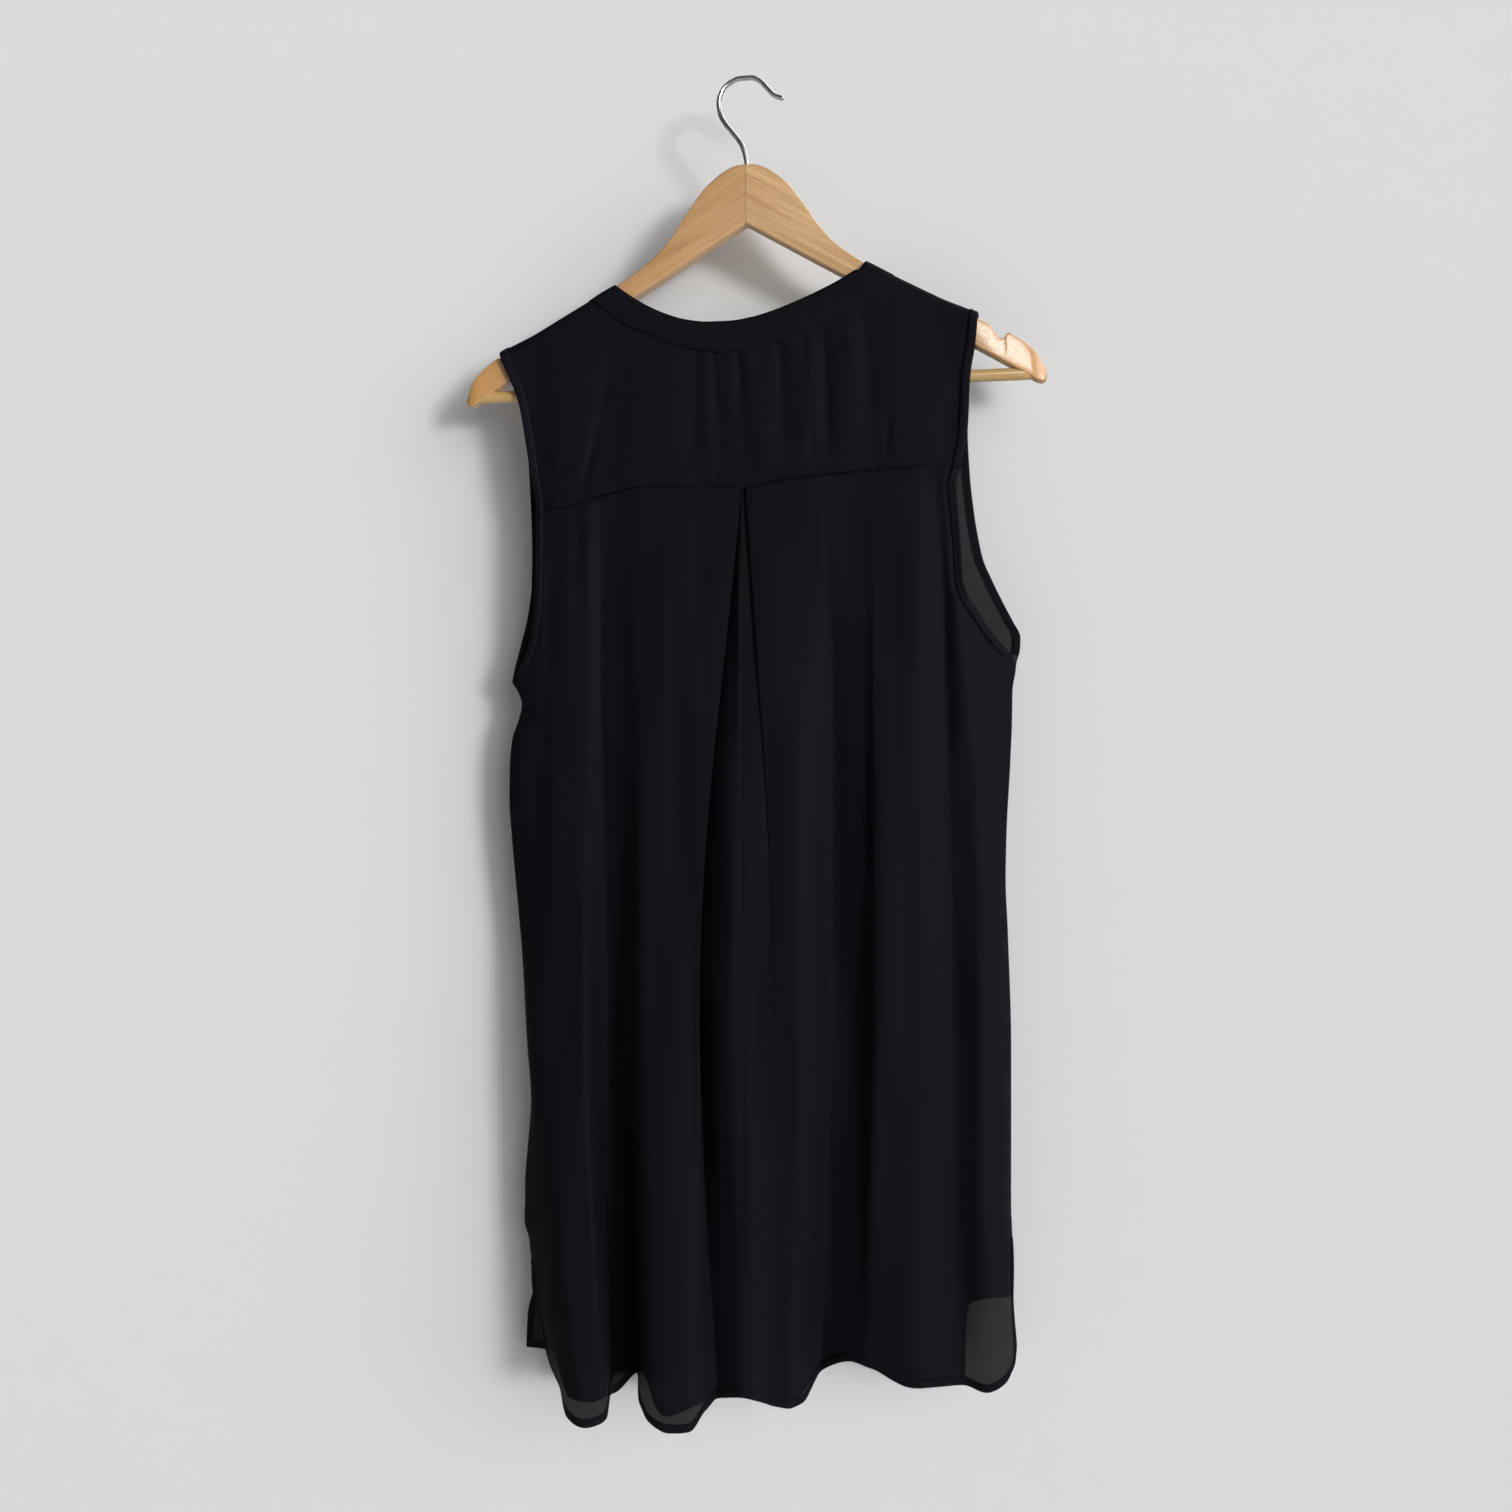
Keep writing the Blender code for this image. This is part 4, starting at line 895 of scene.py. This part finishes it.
def crepe_material(name, weave, colours, sheer):
    """Crepe in a light and a dark tone. Where it is sheer, each side of the wall hides OPACITY of
    what is behind it, and the threads change that by THREAD_OPACITY."""
    material, tree, shader = new_material(name, Sheen_Weight=0.012, Sheen_Roughness=0.4,
                                          Sheen_Tint=(0.8, 0.8, 1.0, 1.0),
                                          Specular_IOR_Level=0.05)
    light, dark = colours
    cloth = placed_group(tree, weave, Light=light, Dark=dark)
    tree.links.new(cloth.outputs["Colour"], shader.inputs["Base Color"])
    tree.links.new(cloth.outputs["Roughness"], shader.inputs["Roughness"])
    tree.links.new(bump(tree, cloth.outputs["Height"], 0.4, 0.0003), shader.inputs["Normal"])
    if sheer:
        threads = maths(tree, "MULTIPLY", cloth.outputs["Threads"], THREAD_OPACITY)
        tree.links.new(maths(tree, "ADD", threads, OPACITY), shader.inputs["Alpha"])
    return material


def wood_material(name, grain, colours):
    """Wood in a pale, a warm and an end tone, under a clear coat with an orange-peel surface."""
    material, tree, shader = new_material(name, Coat_Roughness=0.12, Coat_IOR=1.5)
    pale, warm, ends = colours
    wood = placed_group(tree, grain, Pale=pale, Warm=warm, Ends=ends)
    tree.links.new(wood.outputs["Colour"], shader.inputs["Base Color"])
    tree.links.new(wood.outputs["Roughness"], shader.inputs["Roughness"])
    peel = bump(tree, wood.outputs["Peel"], 0.5, 0.0005)
    tree.links.new(wood.outputs["Lacquer"], shader.inputs["Coat Weight"])
    tree.links.new(bump(tree, wood.outputs["Height"], 0.12, 0.0003, peel), shader.inputs["Normal"])
    return material


def chrome_material():
    """Polished chrome with a slow change of haze."""
    material, tree, shader = new_material("polished_chrome", Metallic=1.0,
                                          Base_Color=(0.62, 0.62, 0.64, 1.0))
    haze = noise(tree, mapped(tree), 160.0, 2.0)
    tree.links.new(spread(tree, haze, 0.1, 0.22), shader.inputs["Roughness"])
    return material


# ---------------------------------------------------------------- the pieces
def shares(count, turn_count=0, turn_share=0.0):
    """Places from 0 to 1, with turn_count of them in the first turn_share."""
    if not turn_count:
        return np.linspace(0.0, 1.0, count)
    near = np.linspace(0.0, turn_share, turn_count, endpoint=False)
    return np.concatenate([near, np.linspace(turn_share, 1.0, count - turn_count)])


def fold_columns(folds):
    """Places of the columns across a panel: 7 from each fold line to the next, and 14 where the
    cloth turns sharply in the pleat."""
    counts = [14 if fold[0].startswith("pleat") else 7 for fold in folds] + [7]
    spans = [np.linspace(first, first + 1, count, endpoint=False)
             for first, count in enumerate(counts)]
    return np.append(np.concatenate(spans), len(counts)) / len(counts)


def above_yoke_seam(grid):
    """Height of each point above the yoke seam."""
    seam = np.array(YOKE_SEAM)
    return grid[..., 2] - smooth(seam[:, 0], seam[:, 2], grid[..., 0])


def below_turn(grid):
    """Share from 0 on the turn over the arm to 1 a little below it."""
    return ease((turn_end(grid[..., 0]) - grid[..., 2]) / 30.0)


def make_back_panel():
    """Back panel: its folds, with creases, sway, and puckers along the yoke seam and the hem. The
    sway grows to its full size 90 mm below the seam."""
    panel = back_surface(shares(200), fold_columns(BACK_FOLDS))
    below_seam = -above_yoke_seam(panel)
    to_hem = length_to_end(panel)
    hang = ease(below_seam / 90.0)
    panel[..., 1] += creases(panel, BACK_CREASES) + sway(panel, 0.25 + 0.75 * hang)
    panel[..., 1] += seam_puckers(panel[..., 0], below_seam, 7.0, 0.28)
    panel[..., 1] += hem_form(panel[..., 0], to_hem, -1)
    return panel


def make_front_panel():
    """Front panel: its folds, with creases and sway below the turn, and puckers along the hem. The
    sway grows to its full size 80 mm below the bust line."""
    u = np.linspace(0.0, 1.0, 145)
    panel = front_surface(shares(90, 24, 0.12), shares(176), u)
    hang = ease((BUST - panel[..., 2]) / 80.0)
    to_hem = length_to_end(panel)
    drape = creases(panel, FRONT_CREASES) - sway(panel, 0.15 + 0.75 * hang)
    panel[..., 1] += drape * below_turn(panel)
    panel[..., 1] += hem_form(panel[..., 0], to_hem, 1)
    return panel


def make_yoke():
    """Yoke: its dents, with small creases and sway below the turn, puckers along the yoke seam and
    a bell of doubled cloth on it."""
    u = np.linspace(0.0, 1.0, 193)
    yoke = yoke_surface(shares(96, 26, 0.12), u)
    above_seam = above_yoke_seam(yoke)
    over = below_turn(yoke)
    yoke[..., 1] += (creases(yoke, YOKE_SMALL_CREASES) + sway(yoke, 0.22)) * over
    yoke[..., 1] += seam_puckers(yoke[..., 0], above_seam, 5.0, 0.2) * over
    yoke[..., 1] -= 0.55 * np.exp(-(above_seam / 1.6) ** 2)
    return yoke


def make_neckband():
    """The band all the way round: a doubled strip whose middle stands out a little, along the
    back neck to the wearer's right, over the shoulder and back along the V."""
    width = np.linspace(0.0, 1.0, 9)
    stations = []
    for rows, side in ((band_rows(NECK_BACK, 12, True), -1),
                       (band_rows(NECK_FRONT, 24, False)[::-1], 1)):
        x = rows[:, :1] + (rows[:, 2:3] - rows[:, :1]) * width
        z = rows[:, 1:2] + (rows[:, 3:4] - rows[:, 1:2]) * width
        level = turn_end(x)
        rise = np.clip((z - level) / turn_radius(x), 0.0, 1.0)
        bulge = BAND_BULGE * np.sin(math.pi * width) + BAND_STAND
        y = hanging_depth(x, z, side) + side * bulge * np.sqrt(1 - rise ** 2)
        stations.append(np.stack([x, y, z + bulge * rise], axis=-1)[1:])
    return np.concatenate(stations)


def binding_strip(front, yoke, back, from_right):
    """Armhole binding: a strip inside the edge, up the front, over the shoulder, down the back."""
    end = -1 if from_right else 0
    low = (SIDE_RIGHT if from_right else SIDE_LEFT)[0][0] + 6.0
    strips = []
    for panel, inward in ((front, -1), (yoke, 1), (back, 1)):
        rows = panel[:, end, 2] > low
        strip = edge_facing(panel, from_right, BINDING_WIDTH, inward, rows)
        strips.append(strip[::-1] if panel is front else strip)
    return np.concatenate(strips)


# ---------------------------------------------------------------- room, light and camera, metres
ROOM_FLOOR = -1.7
FLOOR_HALF = 8.0
WALL_HALF = 1.8
WALL_HEIGHT = 1.3
WALL_FOOT = 0.0125       # y of the wall's foot: it leans towards the hem, which hangs close to it
WALL_TOP = 0.0875        # y of its top
CAMERA_TURN = math.radians(10.1)     # from the middle of the back towards the wearer's right
CAMERA_DISTANCE = 1.1
CAMERA_HEIGHT = -0.511
SENSOR_WIDTH = 36.0      # millimetres
FOCAL_PIXELS = 1455.0
IMAGE_PIXELS = 1512.0
CENTRE_COLUMN = 747.0    # the image column that the camera points at


def add_plane(name, corners, material):
    """One flat piece of the stage."""
    mesh = bpy.data.meshes.new(name)
    mesh.from_pydata(corners, [], [(0, 1, 2, 3)])
    mesh.materials.append(material)
    plane = bpy.data.objects.new(name, mesh)
    bpy.context.scene.collection.objects.link(plane)


def add_stage():
    """A pale wall close behind the hanging blouse, seen only by the camera and from the blouse's
    side, and a pale floor. The wall catches shadows and lets light from behind it pass."""
    pale_wall, tree, shader = new_material("pale_wall", Base_Color=(0.78, 0.78, 0.78, 1.0),
                                           Roughness=0.9, Specular_IOR_Level=0.0)
    facing = tree.nodes.new("ShaderNodeNewGeometry")
    path = tree.nodes.new("ShaderNodeLightPath")
    front = maths(tree, "SUBTRACT", 1.0, facing.outputs["Backfacing"])
    seen = maths(tree, "MULTIPLY", front, path.outputs["Is Camera Ray"])
    tree.links.new(seen, shader.inputs["Alpha"])
    pale_floor = new_material("pale_floor", Base_Color=(0.74, 0.74, 0.74, 1.0), Roughness=0.8)[0]
    add_plane("wall", ((-WALL_HALF, WALL_FOOT, ROOM_FLOOR), (WALL_HALF, WALL_FOOT, ROOM_FLOOR),
                       (WALL_HALF, WALL_TOP, WALL_HEIGHT), (-WALL_HALF, WALL_TOP, WALL_HEIGHT)),
              pale_wall)
    add_plane("floor", ((-FLOOR_HALF, -FLOOR_HALF, ROOM_FLOOR), (FLOOR_HALF, -FLOOR_HALF, ROOM_FLOOR),
                        (FLOOR_HALF, FLOOR_HALF, ROOM_FLOOR), (-FLOOR_HALF, FLOOR_HALF, ROOM_FLOOR)),
              pale_floor)


def add_softbox(place, target, size, power):
    """A square lamp that shows in glossy surfaces only and points from its place to a target."""
    lamp = bpy.data.lights.new("softbox", "AREA")
    lamp.shape = "SQUARE"
    lamp.size = size
    lamp.energy = power
    softbox = bpy.data.objects.new("softbox", lamp)
    softbox.location = place
    way = np.array(target) - np.array(place)
    yaw = math.atan2(way[1], way[0]) - math.pi / 2
    pitch = math.atan2(math.hypot(way[0], way[1]), -way[2])
    softbox.rotation_euler = (pitch, 0.0, yaw)
    softbox.visible_diffuse = False
    bpy.context.scene.collection.objects.link(softbox)


def add_sun(name, turn, rise, width, power):
    """A far light of an angular width. turn is its way round from the back of the blouse to the
    wearer's right, and rise its height, in degrees."""
    lamp = bpy.data.lights.new(name, "SUN")
    lamp.angle = math.radians(width)
    lamp.energy = power
    sun = bpy.data.objects.new(name, lamp)
    sun.rotation_euler = (math.radians(90.0 - rise), 0.0, math.radians(turn))
    bpy.context.scene.collection.objects.link(sun)


def add_world(seen, lighting):
    """A pale surround, seen as one grey and lighting the piece with another."""
    world = bpy.data.worlds.new("studio")
    world.use_nodes = True
    tree = world.node_tree
    background = tree.nodes["Background"]
    background.inputs["Color"].default_value = (1.0, 1.0, 1.0, 1.0)
    path = tree.nodes.new("ShaderNodeLightPath")
    brighter = maths(tree, "MULTIPLY", path.outputs["Is Camera Ray"], seen - lighting)
    tree.links.new(maths(tree, "ADD", brighter, lighting), background.inputs["Strength"])
    bpy.context.scene.world = world


def add_camera():
    """The photograph's view: level, with the lens shifted sideways to the image's centre."""
    data = bpy.data.cameras.new("camera")
    data.sensor_width = SENSOR_WIDTH
    data.lens = SENSOR_WIDTH * FOCAL_PIXELS / IMAGE_PIXELS
    data.shift_x = (IMAGE_PIXELS / 2 - CENTRE_COLUMN) / IMAGE_PIXELS
    data.clip_start = 0.02
    camera = bpy.data.objects.new("camera", data)
    camera.location = (CAMERA_DISTANCE * math.sin(CAMERA_TURN),
                       -CAMERA_DISTANCE * math.cos(CAMERA_TURN), CAMERA_HEIGHT)
    camera.rotation_euler = (math.pi / 2, 0.0, CAMERA_TURN)
    bpy.context.scene.collection.objects.link(camera)
    bpy.context.scene.camera = camera


# ---------------------------------------------------------------- putting it together
SIDES = (("left", -1), ("right", 1))


def with_turned_edges(panel, inward):
    """A panel, its turned hem and the facings of its two side vents."""
    vents = slice(int(FACING_FROM * len(panel)), None)
    facings = [edge_facing(panel, sign > 0, FACING_WIDTH, inward, vents) for name, sign in SIDES]
    return [panel, turned_hem(panel, HEM_WIDTH, inward)] + facings


def add_hanger():
    """The two arms, the hook and the trouser bar."""
    grain = grain_group()
    wood = wood_material("lacquered_wood", grain, ARM_WOOD)
    dowel = wood_material("lacquered_dowel", grain, BAR_WOOD)
    for name, sign in SIDES:
        add_mesh(f"hanger_arm_{name}_wood", [hanger_arm(sign)], wood, f"hanger_arm_{name}")
    add_mesh("hook_wire", [hook_wire()], chrome_material(), "hanger_hook")
    add_mesh("bar_dowel", [bar_dowel()], dowel, "hanger_bar")


def add_blouse():
    """The cut pieces: back and front panels, yoke, neckband and the two armhole bindings."""
    weave = crepe_group()
    sheer = crepe_material("sheer_crepe", weave, CREPE, True)
    # the yoke and neckband take darker tones: painted shade on the doubled cloth
    doubled = crepe_material("doubled_crepe", weave, SHADED_DOUBLED_CREPE, False)
    turned = crepe_material("turned_crepe", weave, CREPE, False)
    back, front, yoke = make_back_panel(), make_front_panel(), make_yoke()

    back_piece = add_mesh("back_panel_cloth", with_turned_edges(back, 1), sheer,
                          "back_panel", CLOTH_WALL)
    front_piece = add_mesh("front_panel_cloth", with_turned_edges(front, -1), sheer,
                           "front_panel", CLOTH_WALL)
    yoke_piece = add_mesh("back_yoke_cloth", [yoke], doubled, "back_yoke", CLOTH_WALL)
    band_piece = add_mesh("neckband_cloth", [make_neckband()], doubled,
                          "neckband", BAND_WALL, closed=True)
    for (name, sign), length in zip(SIDES, (0.53, 0.54)):
        strip = binding_strip(front, yoke, back, sign > 0)
        binding = add_mesh(f"armhole_binding_{name}_cloth", [strip], turned,
                           f"armhole_binding_{name}", CLOTH_WALL)


def add_studio():
    """Stage, lights, surround and camera."""
    add_stage()
    add_sun("window", turn=44.0, rise=4.0, width=11.0, power=1.36)
    add_sun("wide_window", turn=50.0, rise=8.0, width=54.0, power=2.1)
    add_sun("front_window", turn=143.0, rise=42.0, width=50.0, power=1.5)
    add_softbox(place=(0.35, -1.72, 0.27), target=(0.2, 0.0, -0.21), size=0.36, power=7.2)
    add_world(seen=0.7, lighting=0.1)
    bpy.context.scene.view_settings.view_transform = "Standard"
    add_camera()


add_blouse()
add_hanger()
add_studio()
